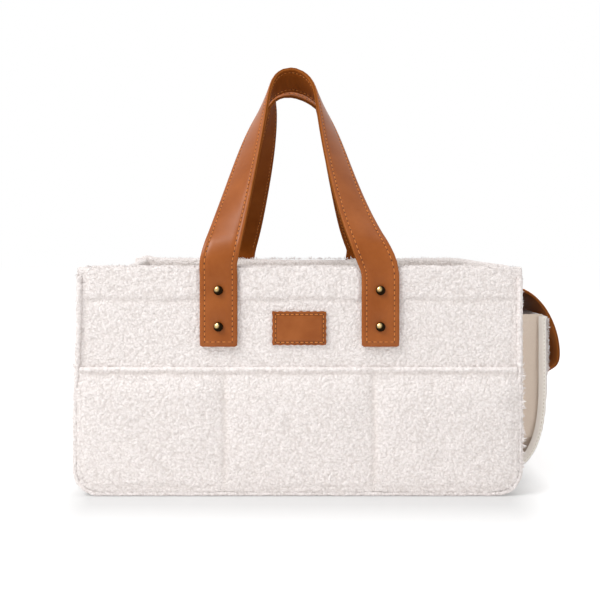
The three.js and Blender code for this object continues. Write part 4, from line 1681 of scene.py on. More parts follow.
    def cut_strap(self) -> Piece:
        """Cuts the strap on the flat, with rounded edges, two plies, stitch channels and rivet dimples.

        Returns:
            The strap, with X along it, Y across it and Z through it.
        """
        length, half, thick = self.track.length, self.width / 2, self.thickness / 2
        strap = add_block(f"{self.side.word}_strap", (0, -half, -thick), (length, half, thick))
        split(strap, self.rings, 2 * len(self.columns) - 1, 3)
        flat = read_points(strap)
        last = self.rings + 1
        ring = np.rint(flat[:, 0] / length * last)
        tight = np.array([0, 0.3, 1, 2.2]) * MM
        known = [0, 1, 2, 3, last - 3, last - 2, last - 1, last]
        along = np.interp(ring, known, np.r_[tight, length - tight[::-1]])
        places = np.array([-value for value in self.columns] + [0] + list(self.columns[::-1])) * MM
        across = places[np.rint((flat[:, 1] + half) / self.width * (len(places) - 1)).astype(int)]
        through = flat[:, 2]
        end = np.minimum(along, length - along)
        across = np.sign(across) * np.minimum(np.abs(across), half - corner_draw(end, self.tab_corner))
        edge_gap = np.minimum(half - np.abs(across), end)
        skin = np.where(np.abs(through) > thick - TOUCH, np.sign(through), 0)
        free = ramp(end, 72 * MM, 90 * MM)
        swell = self.crown * (1 - (across / half) ** 2) * np.where(skin > 0, 1, free)
        channel = 0.4 * MM * ridge(edge_gap, self.stitch_inset, 0.8 * MM)
        bevel = 1 - 0.38 * (1 - ramp(edge_gap, 0, 1.1 * MM))
        through = through * bevel + skin * (swell - channel)
        through -= np.where(skin > 0, self.dimples(along, across), 0)
        groove = 0.55 * MM * (np.abs(flat[:, 2]) < TOUCH)
        across = np.where(np.abs(flat[:, 1]) > half - TOUCH, across - np.sign(across) * groove, across)
        along = np.where(flat[:, 0] < TOUCH, along + groove, along)
        along = np.where(flat[:, 0] > length - TOUCH, along - groove, along)
        move_points(strap, rows(along, across, through))
        return strap

    def dimples(self, along: Array, across: Array) -> Array:
        """Works out how far the rivets press the outer face in.

        Args:
            along: distances along the strap.
            across: places across it.

        Returns:
            A depth for each point.
        """
        depth = np.zeros_like(along)
        for rank in ("upper", "lower"):
            low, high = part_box(f"front_rivet_{rank}_left_cap")
            place = (low.z + high.z) / 2 - self.foot_height - self.tab_foot
            for spot in (place, self.track.length - place):
                depth += self.dimple_depth * ridge(np.hypot(along - spot, across), 0, self.dimple_radius)
        return depth

    def mark(self, strap: Piece, flat: Array) -> None:
        """Stores the flat cut, the cut edge, the line between the plies, painted shade on the inner face and
        the waxed face for the leather.

        Args:
            strap: the strap, still flat.
            flat: its points.
        """
        half, height = self.width / 2, flat[:, 2]
        end = np.minimum(flat[:, 0], self.track.length - flat[:, 0])
        edge = 1 - ramp(np.minimum(half - np.abs(flat[:, 1]), end), 0.1 * MM, 0.7 * MM)
        inner = ramp(-height, 0.3 * MM, 1.2 * MM) * (1 - edge)
        outer = ramp(height, 0.3 * MM, 1.2 * MM) * (1 - edge)
        # Painted shade: the inner face takes a share of the dark ply colour.
        ply = np.maximum(edge * ridge(height, 0, 0.7 * MM), 0.26 * inner)
        store(strap, flat=flat, edge=edge * 0.6, ply=ply, gloss=outer)

    def stitch_spots(self) -> Array:
        """Places the stitches: along both edges of both faces and across both tabs.

        Returns:
            A row of X, Y, Z and angle for each stitch.
        """
        half, inset = self.width / 2, self.stitch_inset
        side = half - inset
        legs = stitch_border((inset, -side), (self.track.length - inset, side), self.stitch_pitch, 0)
        for leg in legs:
            leg[:, 2] = self.thickness / 2 + self.crown * (1 - (leg[:, 1] / half) ** 2) - 0.25 * MM
        inner = np.concatenate([legs[0], legs[2]]) * (1, 1, -1, 1)
        climb = self.track.at(inner[:, 0])[:, 1]
        return np.concatenate([*legs, inner[climb > 12 * MM]])


def dome(name: str, radius: float, height: float, collar: float) -> Piece:
    """Makes a domed metal cap on its collar, its flat at Z 0 and its dome up.

    Args:
        name: the cap's name.
        radius: its radius.
        height: the dome's height.
        collar: how far its rim reaches below Z 0.

    Returns:
        The cap.
    """
    deselect()
    bpy.ops.mesh.primitive_uv_sphere_add(segments=28, ring_count=16, radius=radius)
    cap = claim(name)
    pick_all(cap)
    bpy.ops.mesh.bisect(plane_co=(0, 0, 0), plane_no=(0, 0, 1), use_fill=True, clear_inner=True)
    bpy.ops.mesh.select_all(action="SELECT")
    bpy.ops.transform.resize(value=(1, 1, height / radius))
    leave()
    pick(cap, Part.FACES, lambda middle, facing: facing.z < -SQUARE)
    bpy.ops.mesh.extrude_region_move(TRANSFORM_OT_translate={"value": (0, 0, -collar)})
    leave()
    round_edges(cap, 0.15 * MM, 2, lambda middle, along: middle.z < TOUCH / 2 - collar)
    points = read_points(cap)
    # Painted highlight and shade: the cap stays bright round a spot set off to one side and is painted dark
    # away from it, stored as the rim mark.
    highlight_offset = 0.36 * radius
    gap = np.hypot(points[:, 0] + highlight_offset, points[:, 1] - highlight_offset)
    store(cap, rim=ramp(gap, 0.25 * radius, 0.7 * radius))
    face_outwards(cap)
    bpy.ops.object.shade_smooth_by_angle(angle=CREASE_ANGLE)
    return cap


@dataclass
class Rivets:
    """Brass rivets through the tabs: a domed cap outside and a pressed cap inside."""

    dome_height: float = 2.3 * MM
    collar: float = 1.3 * MM
    back_height: float = 1.7 * MM
    back_collar: float = 0.1 * MM
    cap_reach: float = 2 * MM

    def build(self) -> list[Piece]:
        """Makes the sixteen caps.

        Returns:
            The caps.
        """
        low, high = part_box("front_rivet_upper_left_cap")
        back_low, back_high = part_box("front_rivet_upper_left_back")
        cap = dome("rivet_cap", (high.x - low.x) / 2, self.dome_height, self.collar)
        back = dome("rivet_back", (back_high.x - back_low.x) / 2, self.back_height, self.back_collar)
        made = []
        for side in Side:
            for rank in ("upper", "lower"):
                for hand in ("left", "right"):
                    name = f"{side.word}_rivet_{rank}_{hand}"
                    made.append(self.set(cap, f"{name}_cap", side, True))
                    made.append(self.set(back, f"{name}_back", side, False))
        for model in (cap, back):
            bpy.data.objects.remove(model)
        return made

    def set(self, model: Piece, node: str, side: Side, outwards: bool) -> Piece:
        """Sets a copy of a cap where its solid is.

        Args:
            model: the cap to copy.
            node: the solid it stands for.
            side: the long side it is on.
            outwards: whether it faces out of the caddy.

        Returns:
            The cap in its place.
        """
        low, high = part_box(node)
        cap = model.copy()
        cap.data = model.data.copy()
        bpy.context.scene.collection.objects.link(cap)
        choose(cap)
        faces_front = (side is Side.FRONT) == outwards
        reach = self.cap_reach if outwards else 0
        face = low.y + reach if side is Side.FRONT else high.y - reach
        cap.rotation_euler = (QUARTER_TURN if faces_front else -QUARTER_TURN, 0, 0)
        cap.location = ((low.x + high.x) / 2, face, (low.z + high.z) / 2)
        return seat(claim(f"{node}_brass"), BRASS_FINISH, "caddy", node)


@dataclass
class Patch:
    """A bare leather patch sewn to the front."""

    stitch_inset: float = 2.6 * MM
    stitch_pitch: float = 4.2 * MM
    swell: float = 0.7 * MM
    dip: float = 0.55 * MM
    wobble: float = 0.42 * MM
    wobble_rate: float = 1050

    def build(self) -> list[Piece]:
        """Makes the patch and its stitches.

        Returns:
            The patch and the stitches.
        """
        low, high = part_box("front_patch")
        half, thick, tall = (high - low) / 2
        middle = (low + high) / 2
        patch = add_block("patch_leather", (-half, -tall, -thick), (half, tall, thick))
        split(patch, 43, 27)
        shaped = read_points(patch)
        x, y, z = shaped.T.copy()
        inset = np.minimum(half - np.abs(x), tall - np.abs(y))
        wave = self.wobble * (np.sin(x * self.wobble_rate) + np.sin(y * self.wobble_rate + 1))
        shaped[:, :2] += np.sign(rows(x, y)) * (wave * (1 - ramp(inset, 0, 2 * MM)))[:, None] * 0.6
        line = ridge(inset, self.stitch_inset, 0.9 * MM)
        shaped[:, 2] += np.where(z > 0, self.swell * ramp(inset, 0, 5 * MM) - self.dip * line, 0)
        inner = ramp(inset, 0, 1 * MM)
        store(patch, flat=shaped + (0.4, 0.2, 0), edge=0.4 * (1 - inner), ply=0.3 * line, gloss=inner)

        def place(local: Array) -> Array:
            """Stands points of the flat patch up on the panel."""
            return rows(local[:, 0] + middle.x, middle.y - local[:, 2], local[:, 1] + middle.z)

        move_points(patch, place(shaped))
        face_outwards(patch)
        across, up = half - self.stitch_inset, tall - self.stitch_inset
        legs = stitch_border((-across, -up), (across, up), self.stitch_pitch, thick + 0.3 * MM)
        sewn = topstitch("patch", np.concatenate(legs), self.stitch_pitch, place)
        for piece in sewn:
            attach(piece, "caddy")
        return [seat(patch, PATCH_FINISH, "caddy", "front_patch"), *sewn]


@dataclass
class EndPocket:
    """The pocket on the right end: a fleece panel and two canvas sides with a pleat at the foot."""

    cloth: Fleece
    thickness: float = 4 * MM
    turn: float = 78 * MM
    reach: float = 39 * MM
    corner: float = 20 * MM
    body_corner: float = 22 * MM
    fit: float = 0.3 * MM
    gusset_cloth: float = 1.5 * MM
    pleat_height: float = 20 * MM
    pleat_depth: float = 10 * MM
    pleat_cloth: float = 5 * MM
    seam_inset: float = 7 * MM
    hem: float = 12 * MM
    seam_depth: float = 1.3 * MM
    welt_width: float = 5.5 * MM
    welt_inset: float = 2.6 * MM
    welt_stop: float = 8 * MM
    stitch_pitch: float = 3.4 * MM
    edge_tuck: float = 2.4 * MM
    bare_rise: tuple[float, float] = (88 * MM, 100 * MM)
    low: Vector = field(init=False)
    high: Vector = field(init=False)
    line: Track = field(init=False)

    def __post_init__(self) -> None:
        """Draws the pocket's outer line in X and Z, from its mouth down to its foot."""
        self.low, self.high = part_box("side_pocket_panel")
        low, high = self.low, self.high
        turn_top = low.z + self.turn
        bend = (
            (high.x, turn_top),
            (high.x, turn_top - 0.62 * self.turn),
            (high.x - 0.3 * self.reach, low.z),
            (low.x, low.z),
        )
        self.line = Track([((high.x, high.z), bend[0]), bend])

    def build(self) -> list[Piece]:
        """Makes the panel, the canvas sides and their seams."""
        return [self.panel(), *self.gusset("front", 1), *self.gusset("rear", -1)]

    def spread(self, u: Array, v: Array) -> Array:
        """Lays shares across and up the panel along the pocket's outer line."""
        up = v * self.line.length
        return upright(
            self.line.at(self.line.length - up), (2 * u - 1) * (self.high.y - corner_draw(up, self.corner))
        )

    def panel(self) -> Piece:
        """Makes the fleece panel.

        Returns:
            The panel.
        """
        piece = lay_grid("end_pocket_fleece", 80, 90, self.spread)
        finish_with(piece, "SOLIDIFY", thickness=self.thickness, offset=-1)
        self.cloth.fuse(piece)
        points = read_points(piece)
        facing = read_normals(piece)
        outer = ramp(facing[:, 0] - facing[:, 2], 0.1, 0.6)
        side = self.high.y - np.abs(points[:, 1])
        top = self.high.z - points[:, 2]
        seam = np.maximum(ridge(side, self.seam_inset, 1.7 * MM), ridge(top, self.hem, 1.7 * MM))
        flat = np.maximum(ridge(side, self.seam_inset, 1.8 * MM), ridge(top, self.hem, 1.8 * MM))
        bare = (1 - ramp(side, 2 * MM, 6 * MM)) * (1 - ramp(points[:, 2], *self.bare_rise))
        sink = outer * np.maximum(self.seam_depth * seam, self.edge_tuck * bare)
        points -= facing * sink[:, None]
        move_points(piece, points)
        stud_low, stud_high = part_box("pocket_snap_stud")
        gap = np.hypot(points[:, 1], points[:, 2] - (stud_low.z + stud_high.z) / 2)
        stand = (1 - 0.8 * flat) * ramp(gap, 5 * MM, 9 * MM)
        stand *= (0.35 + 0.65 * outer) * (1 - 0.85 * bare)
        # The seams and the tucked lower side edges take the seam colour, painted shade in these grooves.
        self.cloth.raise_pile(piece, stand, np.maximum(0.7 * bare, 0.6 * outer * seam))
        return seat(piece, FLEECE_FINISH, "caddy", "side_pocket_panel")

    def gusset(self, name: str, sign: int) -> list[Piece]:
        """Makes one canvas side with its pleat and the doubled seam along the fleece.

        Args:
            name: front or rear.
            sign: 1 for the front one, -1 for the rear one.

        Returns:
            The canvas, its welt and the welt's stitches.
        """
        cloth = lay_grid(f"gusset_{name}_canvas", 24, 72, self.hang)
        welt = lay_grid(f"gusset_{name}_welt", 5, 90, self.bind)
        for piece in (cloth, welt):
            store(piece, flat=read_points(piece)[:, [0, 2, 1]])
        finish_with(cloth, "SOLIDIFY", thickness=self.gusset_cloth, offset=-1)
        finish_with(welt, "SOLIDIFY", thickness=1.0 * MM, offset=1)
        finish_with(welt, "BEVEL", width=0.3 * MM, segments=2)
        stitches = self.welt_stitches(f"gusset_{name}_stitches")
        for piece in (cloth, welt, stitches):
            move_points(piece, read_points(piece) * (1, sign, 1))
            face_outwards(piece)
        seat(cloth, CANVAS_FINISH, "caddy", f"side_pocket_gusset_{name}")
        seat(welt, WELT_FINISH, "caddy")
        seat(stitches, SEAM_FINISH, "caddy")
        return [cloth, welt, stitches]

    def welt_stitches(self, name: str) -> Piece:
        """Sews the two rows of stitches down the front welt.

        Args:
            name: the stitches' name.

        Returns:
            The stitches.
        """
        lines = []
        down = np.linspace(1 * MM, self.line.length - 10 * MM, 80)
        for share in (0.3, 0.75):
            edge = self.bind(np.full(80, share), down / (self.line.length - self.welt_stop))
            line = stitch_line(edge[:, [0, 2]].tolist(), self.stitch_pitch, 0)
            line[:, 2] = 0.9 * MM - np.interp(line[:, 1], edge[::-1, 2], edge[::-1, 1])
            lines.append(line)
        stitches = sew(name, np.concatenate(lines), 2.5 * MM, 0.7 * MM, 0.35 * MM)
        local = read_points(stitches)
        move_points(stitches, rows(local[:, 0], -local[:, 2], local[:, 1]))
        return stitches

    def bind(self, u: Array, v: Array) -> Array:
        """Lays the front welt over the edge of the fleece panel.

        Args:
            u: shares of the welt's width, in from the pocket's outer line.
            v: shares of its run down that line.

        Returns:
            The places of the welt's inner face.
        """
        down, inwards = v * (self.line.length - self.welt_stop), self.welt_width * u
        plane = self.line.beside(down, -self.welt_inset - inwards)
        rounding = corner_draw(self.line.length - down, self.corner)
        slope = 2.8 * MM * ramp(inwards, 0.35 * self.welt_width, self.welt_width)
        return upright(plane, self.low.y - 0.5 * MM + rounding + slope)

    def hang(self, u: Array, v: Array) -> Array:
        """Hangs the front canvas between the wall and the pocket's panel.

        Args:
            u: shares from the wall to the panel.
            v: shares from the foot to the mouth, with more of them at the foot.

        Returns:
            The places of its outer face.
        """
        low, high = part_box("side_pocket_gusset_front")
        share = v**1.3
        rise = (high.z - low.z) * share
        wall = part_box("flap_seam_strip")[0].x - self.fit
        near = wall - corner_draw(low.z + rise, self.body_corner) + self.fit
        inner = self.line.beside(np.linspace(0, self.line.length, 400), np.full(400, -self.thickness))
        far = np.interp(-(low.z + rise), -inner[:, 1], inner[:, 0]) - self.fit
        fold = np.maximum(1 - rise / self.pleat_height, 0) ** 0.8 * self.pleat_depth
        belly = 1.2 * MM * np.sin(HALF_TURN * u) * np.sin(HALF_TURN * share)
        return rows(near + (far - near) * u, low.y + fold + belly, low.z + rise)


@dataclass
class EndFlap:
    """The leather flap over the end pocket: a sewn strip, a fold, a full bulge and a snapped tip."""

    thickness: float = 2.4 * MM
    bulge_drop: float = 38 * MM
    run: float = 3 * MM
    taper: float = 2 * MM
    corner: float = 9 * MM
    fit: float = 0.3 * MM
    ease: float = 3 * MM
    stitch_inset: float = 4 * MM
    stitch_pitch: float = 4.4 * MM
    fold: tuple[Spot, Spot] = ((0.1865, 0, 0.1775), (0.195, 0, 0.1725))
    line: Track = field(init=False)
    strip: float = field(init=False)

    def __post_init__(self) -> None:
        """Draws the flap's outer line in X and Z, from the strip's top to the tip."""
        strip_low, strip_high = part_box("flap_seam_strip")
        low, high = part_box("side_flap")
        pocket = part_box("side_pocket_panel")[1]
        tip_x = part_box("flap_snap_ring")[1].x + self.fit + self.thickness
        face = strip_high.x
        bulge_z = pocket.z - self.bulge_drop
        run_top = low.z + self.run
        shoulder = strip_low.z - self.fit
        self.strip = strip_high.z - strip_low.z
        upper, lower = shoulder - bulge_z, bulge_z - run_top
        hinge, crest = (face + 6 * MM, shoulder + 0.3 * MM), (high.x, bulge_z)
        start, tip = (face, shoulder + 5 * MM), (tip_x, run_top)
        crease = (start, (face, shoulder + 1.5 * MM), (face + 2 * MM, shoulder - 0.2 * MM), hinge)
        swell = (hinge, (pocket.x, shoulder + 4 * MM), (high.x, bulge_z + 0.45 * upper), crest)
        tail = (crest, (high.x, bulge_z - 0.75 * lower), (tip_x, run_top + 0.55 * lower), tip)
        stretches = [((face, strip_high.z), start), crease, swell, tail, (tip, (tip_x, low.z))]
        self.line = Track(stretches, self.ease)

    def half_width(self, along: Array) -> Array:
        """Gives half of the flap's width, tapered and rounded at the tip.

        Args:
            along: distances down the flap.

        Returns:
            Half of the width at each distance.
        """
        strip_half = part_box("flap_seam_strip")[1].y
        flap_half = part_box("side_flap")[1].y
        share = np.clip((along - self.strip) / (self.line.length - self.strip), 0, 1)
        rounding = corner_draw(self.line.length - along, self.corner)
        widen = ramp(along, self.strip - 3 * MM, self.strip + 6 * MM)
        return strip_half + (flap_half - strip_half) * widen - self.taper * share - rounding

    def form(self, flat: Array) -> Array:
        """Bends points of the flat flap, given down, across and over its outer face, into its form."""
        return upright(self.line.beside(flat[:, 0], flat[:, 2]), flat[:, 1])

    def build(self) -> list[Piece]:
        """Makes the flap and its stitches.

        Returns:
            The flap and the stitches.
        """
        length = self.line.length
        flap = add_block("flap_leather", (0, -1, -self.thickness), (length, 1, 0))
        split(flap, 119, 39, 3)
        along, share, through = read_points(flap).T
        half = self.half_width(along)
        across = np.sign(share) * (1 - (1 - np.abs(share)) ** 1.35) * half
        gap = np.minimum(half - np.abs(across), np.minimum(along, length - along))
        depth = through / self.thickness + 0.5
        skin = np.where(np.abs(depth) > 0.49, np.sign(depth), 0)
        bevel = 1 - 0.4 * (1 - ramp(gap, 0, 1.2 * MM))
        pressed = depth * bevel - skin * 0.14 * ridge(gap, self.stitch_inset, 0.9 * MM)
        groove = 0.5 * MM * ((np.abs(depth) < 0.1) & (gap < TOUCH))
        shaped = rows(along, across - np.sign(across) * groove, (pressed - 0.5) * self.thickness)
        edge = 1 - ramp(gap, 0.1 * MM, 0.7 * MM)
        # Painted shade: the underside takes the dark ply colour near the wall and fades out towards the tip,
        # where it takes the pale edge colour instead.
        under = ramp(-depth, 0.1, 0.45) * (1 - edge)
        pale = ramp(along, self.strip + 4 * MM, length - 50 * MM)
        store(
            flap,
            flat=shaped,
            edge=np.maximum(0.4 * edge, under * pale),
            ply=np.maximum(edge * ridge(depth, 0, 0.2), 0.25 * under * (1 - pale)),
            gloss=ramp(depth, 0.1, 0.45) * (1 - edge),
        )
        move_points(flap, self.form(shaped))
        face_outwards(flap)
        STRAP_FINISH.dress(flap)
        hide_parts("flap_seam_strip", "side_flap")
        pieces = [flap, *topstitch("flap", self.stitch_spots(), self.stitch_pitch, self.form)]
        for piece in pieces:
            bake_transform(piece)
        return pieces

    def stitch_spots(self) -> Array:
        """Places the stitches round the flap and along the strip.

        Returns:
            A row of X, Y, Z and angle for each stitch.
        """
        inset, top = self.stitch_inset, 0.05 * MM
        turn_start = self.line.length - self.corner
        straight = np.linspace(inset, turn_start, 60)
        side = rows(straight, self.half_width(straight) - inset)
        centre = self.half_width(np.array([turn_start]))[0] - self.corner
        turn = np.linspace(QUARTER_TURN, 0, 16)
        reach = self.corner - inset
        corner = rows(turn_start + reach * np.cos(turn), centre + reach * np.sin(turn))
        half_outline = np.concatenate([side, corner])
        outline = np.concatenate([half_outline, half_outline[::-1] * (1, -1)])
        lines = [stitch_line(outline.tolist(), self.stitch_pitch, top)]
        for along in (inset, self.strip - 3.5 * MM):
            reach = self.half_width(np.array([along]))[0] - inset
            lines.append(stitch_line([(along, -reach), (along, reach)], self.stitch_pitch, top))
        return np.concatenate(lines)


@dataclass
class Snap:
    """The press stud on the end pocket and the ring under the flap."""

    lip: float = 0.25 * MM
    stud_plate: float = 1 * MM
    post: float = 2 * MM
    hole: float = 2.9 * MM

    def build(self) -> list[Piece]:
        """Makes the stud and the ring.

        Returns:
            The stud and the ring.
        """
        low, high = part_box("flap_snap_ring")
        stud = self.turned("snap_stud", "pocket_snap_stud", self.post, self.stud_plate, False)
        ring = self.turned("snap_ring", "flap_snap_ring", self.hole, high.x - low.x, True)
        return [
            seat(stud, BRASS_FINISH, "caddy", "pocket_snap_stud"),
            seat(ring, BRASS_FINISH, "pocket_flap", "flap_snap_ring"),
        ]

    def turned(self, name: str, node: str, core: float, plate: float, hole: bool) -> Piece:
        """Makes a round plate with a post or a hole.

        Args:
            name: the piece's name.
            node: the solid it stands for.
            core: the radius of the post or hole.
            plate: the plate's thickness.
            hole: whether it has a hole in place of a post.

        Returns:
            The piece, facing along X.
        """
        low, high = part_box(node)
        radius = (high.y - low.y) / 2
        middle = (low + high) / 2
        deselect()
        place = (0, 0, plate / 2)
        bpy.ops.mesh.primitive_cylinder_add(vertices=32, radius=radius, depth=plate, location=place)
        piece = claim(name)
        pick(piece, Part.FACES, lambda spot, facing: abs(facing.z) > SQUARE if hole else facing.z > SQUARE)
        bpy.ops.mesh.inset(thickness=radius - core)
        if hole:
            bpy.ops.mesh.bridge_edge_loops()
        else:
            rise = high.x - low.x - plate
            bpy.ops.mesh.extrude_region_move(TRANSFORM_OT_translate={"value": (0, 0, rise)})
        leave()
        finish_with(piece, "BEVEL", width=self.lip, segments=2, limit_method="ANGLE", angle_limit=EDGE_ANGLE)
        piece.rotation_euler = (0, QUARTER_TURN, 0)
        piece.location = (low.x, middle.y, middle.z)
        choose(piece)
        claim(name)
        face_outwards(piece)
        bpy.ops.object.shade_smooth_by_angle(angle=CREASE_ANGLE)
        return piece


@dataclass
class Inside:
    """Lining, dividers and tapes inside, and the stiff layers between the cloths."""

    cloth: Fleece
    lining: float = 1.2 * MM
    lining_corner: float = 13.4 * MM
    corner_saving: float = 12 * MM
    rim_half: float = 117.7 * MM
    divider_voxel: float = 1.4 * MM
    divider_corner: float = 14 * MM
    divider_half: float = 2 * MM
    divider_tab: float = 2.5 * MM
    binding: float = 7 * MM
    tape_corner: float = 2 * MM
    tape_border: float = 2.2 * MM

    def build(self) -> list[Piece]:
        """Makes everything inside.

        Returns:
            The new pieces.
        """
        made = [self.side_lining(side) for side in Side]
        made.append(self.end_lining())
        for hand in ("left", "right"):
            made.append(self.divider(hand))
            for side in Side:
                made.append(self.tape(f"divider_{hand}_hook_tape_{side.word}", f"{hand}_divider"))
        for side in Side:
            made.append(self.tape(f"{side.word}_loop_tape", "caddy"))
        for wall in ("front", "back", "left", "right"):
            INSERT_FINISH.dress(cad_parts[f"{wall}_stiffener"])
        BOARD_FINISH.dress(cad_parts["base_board"])
        return made

    def side_lining(self, side: Side) -> Piece:
        """Makes the lining of a long side.

        Args:
            side: the long side.

        Returns:
            The lining.
        """
        node = f"{side.word}_lining"
        low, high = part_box("front_lining")

        def lay(u: Array, v: Array) -> Array:
            """Lays the lining flat on its wall, with a little slack.

            Args:
                u: shares along the wall.
                v: shares up it.

            Returns:
                The places of its outer face.
            """
            rise = (high.z - low.z) * v
            x = (2 * u - 1) * (high.x - corner_draw(rise, self.lining_corner))
            slack = 0.12 * MM * np.sin(x * 90 + 3 * v) * np.sin(rise * 70)
            return rows(x, low.y + 0.15 * MM + slack, low.z + rise)

        piece = lay_grid(f"{node}_cloth", 90, 48, lay)
        finish_with(piece, "SOLIDIFY", thickness=self.lining - 0.3 * MM, offset=-1)
        face_outwards(piece)
        mirror_to(side, piece, read_points(piece))
        seat(piece, LINING_FINISH, "caddy", node)
        return piece

    def end_lining(self) -> Piece:
        """Makes the lining of the ends and floor.

        Returns:
            The lining.
        """
        low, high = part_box("wrap_lining")
        piece = trough("end_lining_cloth", low, high, self.lining_corner, self.lining)
        pick_all(piece)
        bpy.ops.mesh.subdivide(number_cuts=9)
        leave()
        points = read_points(piece)
        points[:, 2] -= left_drop(points, self.rim_half, 0.1, 0.19)
        move_points(piece, points)
        face_outwards(piece)
        bpy.ops.object.shade_smooth_by_angle(angle=CREASE_ANGLE)
        seat(piece, LINING_FINISH, "caddy", "wrap_lining")
        return piece

    def divider(self, hand: str) -> Piece:
        """Makes a padded divider with a bound edge and a tab at each end.

        Args:
            hand: left or right.

        Returns:
            The divider.
        """
        node = f"divider_{hand}"
        low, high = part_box(node)
        tape_low, tape_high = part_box(f"{node}_hook_tape_front")
        middle = (low.x + high.x) / 2
        half, tab = self.divider_half, self.divider_tab
        panel = add_block("panel", (middle - half, low.y, low.z), (middle + half, high.y, high.z))
        round_edges(panel, self.divider_corner, 6, along_axis(0, lowest=high.z - TOUCH))
        front = add_block("tab", (low.x, low.y, tape_low.z), (high.x, low.y + tab, tape_high.z))
        back = add_block("tab", (low.x, high.y - tab, tape_low.z), (high.x, high.y, tape_high.z))
        piece = join(f"{node}_pad", [panel, front, back])
        self.cloth.fuse(piece, self.divider_voxel)
        points = read_points(piece)
        facing = read_normals(piece)
        inset = outline_inset(points[:, 1], high.z - points[:, 2], high.y, self.divider_corner)
        inset = np.minimum(inset, points[:, 2] - low.z)
        broad = ramp(np.abs(facing[:, 0]), 0.5, 0.9) * (np.abs(points[:, 0] - middle) < 2 * half)
        groove = 0.6 * MM * ridge(inset, self.binding, 1.6 * MM)
        puff = 0.8 * MM * ramp(inset, self.binding, 3.5 * self.binding)
        points[:, 0] += np.sign(facing[:, 0]) * broad * (puff - groove)
        move_points(piece, points)
        choose(piece)
        bpy.ops.object.shade_smooth()
        return seat(piece, LINING_FINISH, f"{hand}_divider", node)

    def tape(self, node: str, body: str) -> Piece:
        """Makes a length of hook or loop tape with soft corners and a raised field.

        Args:
            node: the solid it stands for.
            body: the body it rides on.

        Returns:
            The tape.
        """
        low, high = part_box(node)
        piece = add_block(f"{node}_strip", low, high)
        round_edges(piece, self.tape_corner, 3, along_axis(1))
        pick(piece, Part.FACES, lambda middle, facing: abs(facing.y) > SQUARE)
        bpy.ops.mesh.inset(thickness=self.tape_border)
        bpy.ops.transform.resize(value=(1, 0.7, 1))
        leave()
        finish_with(piece, "BEVEL", width=0.15 * MM, segments=2, limit_method="ANGLE", angle_limit=EDGE_ANGLE)
        face_outwards(piece)
        bpy.ops.object.shade_smooth_by_angle(angle=EDGE_ANGLE)
        return seat(piece, TAPE_FINISH, body, node)


@dataclass(frozen=True)
class Fringe:
    """A row of loose locks along one edge of the fleece, at one X and Y or along the rim."""

    name: str
    start: Spot
    end: Spot
    outwards: Spot
    count: int
    longest: float
    spread: float = 1.5 * MM


@dataclass
class LooseLocks:
    """Locks of fleece that stand off the cut edges and the rim."""

    seed: int = 7
    shortest: float = 1.2 * MM
    rim_half: float = 0.186
    rim_top: float = 0.1955
    side_top: float = 0.192
    pocket_line: float = 0.112
    lift: float = 0.8

    def fringes(self) -> tuple[Fringe, ...]:
        """Lists the front's rows of locks.

        Returns:
            A row for each edge.
        """
        shell_low, shell_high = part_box("front_shell")
        pocket_low, pocket_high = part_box("side_pocket_panel")
        rim_y, edge_y, lock_y = (shell_low.y + gap * MM for gap in (3, 1.5, -1))
        x, top, line = shell_high.x - 1 * MM, self.side_top, self.pocket_line
        pocket_x, pocket_y = pocket_high.x - 1 * MM, pocket_low.y + 0.5 * MM
        rim_left, rim_right = ((end, rim_y, self.rim_top) for end in (-self.rim_half, self.rim_half))
        pocket_foot, pocket_top = ((pocket_x, pocket_y, height) for height in (0.1, 0.148))
        return (
            Fringe("rim", rim_left, rim_right, (0, -0.5, 1), 420, 2.6 * MM, 3 * MM),
            Fringe("right", (x, lock_y, 0.024), (x, lock_y, line), (1, -0.9, -0.1), 150, 3.3 * MM),
            Fringe("upper", (x, edge_y, line), (x, edge_y, top), (1, -0.3, 0), 70, 2.4 * MM),
            Fringe("left", (-x, edge_y, 0.026), (-x, edge_y, top), (-1, -0.3, 0), 130, 2.4 * MM),
            Fringe("pocket", pocket_foot, pocket_top, (0.8, -0.6, 0), 200, 2 * MM),
        )

    def build(self) -> list[Piece]:
        """Makes the locks of every edge, one piece for each."""
        return [self.grow(fringe, side) for side in Side for fringe in self.fringes()]

    def lock(self) -> Piece:
        """Models one lock of unit length: a thin cone bent over at its tip.

        Returns:
            The lock, rooted at the origin and pointing along Z.
        """
        deselect()
        bpy.ops.mesh.primitive_cone_add(vertices=5, radius1=0.26, radius2=0.13, depth=1, location=(0, 0, 0.5))
        piece = claim("lock")
        split(piece, 0, 0, 2)
        points = read_points(piece)
        points[:, 0] += 0.8 * points[:, 2] ** 2
        move_points(piece, points)
        return piece

    def grow(self, fringe: Fringe, side: Side) -> Piece:
        """Grows the locks of one edge.

        Args:
            fringe: the edge, at the front.
            side: the long side it is on.

        Returns:
            The locks as one piece.
        """
        count = fringe.count
        chance = np.random.default_rng(self.seed + count)
        share = chance.random((count, 1))
        spots = np.array(fringe.start) * (1 - share) + np.array(fringe.end) * share
        spots[:, 1:2] += chance.uniform(-fringe.spread, fringe.spread, (count, 1))
        up = np.array(fringe.outwards) + chance.normal(0, 0.35, (count, 3))
        up /= np.linalg.norm(up, axis=1, keepdims=True)
        lean = np.cross(up, chance.normal(0, 1, (count, 3)))
        lean /= np.linalg.norm(lean, axis=1, keepdims=True)
        length = self.shortest + (fringe.longest - self.shortest) * chance.random(count) ** 2.5
        turns = np.stack([lean, np.cross(up, lean), up], axis=2) * length[:, None, None]
        piece = strew(f"{side.word}_{fringe.name}_locks", self.lock(), turns, settle(spots))
        points = read_points(piece) * (1, side.value, 1)
        move_points(piece, points)
        face_outwards(piece)
        store(piece, pile=np.full(len(points), self.lift), seam=np.zeros(len(points)))
        return seat(piece, FLEECE_FINISH, "caddy")


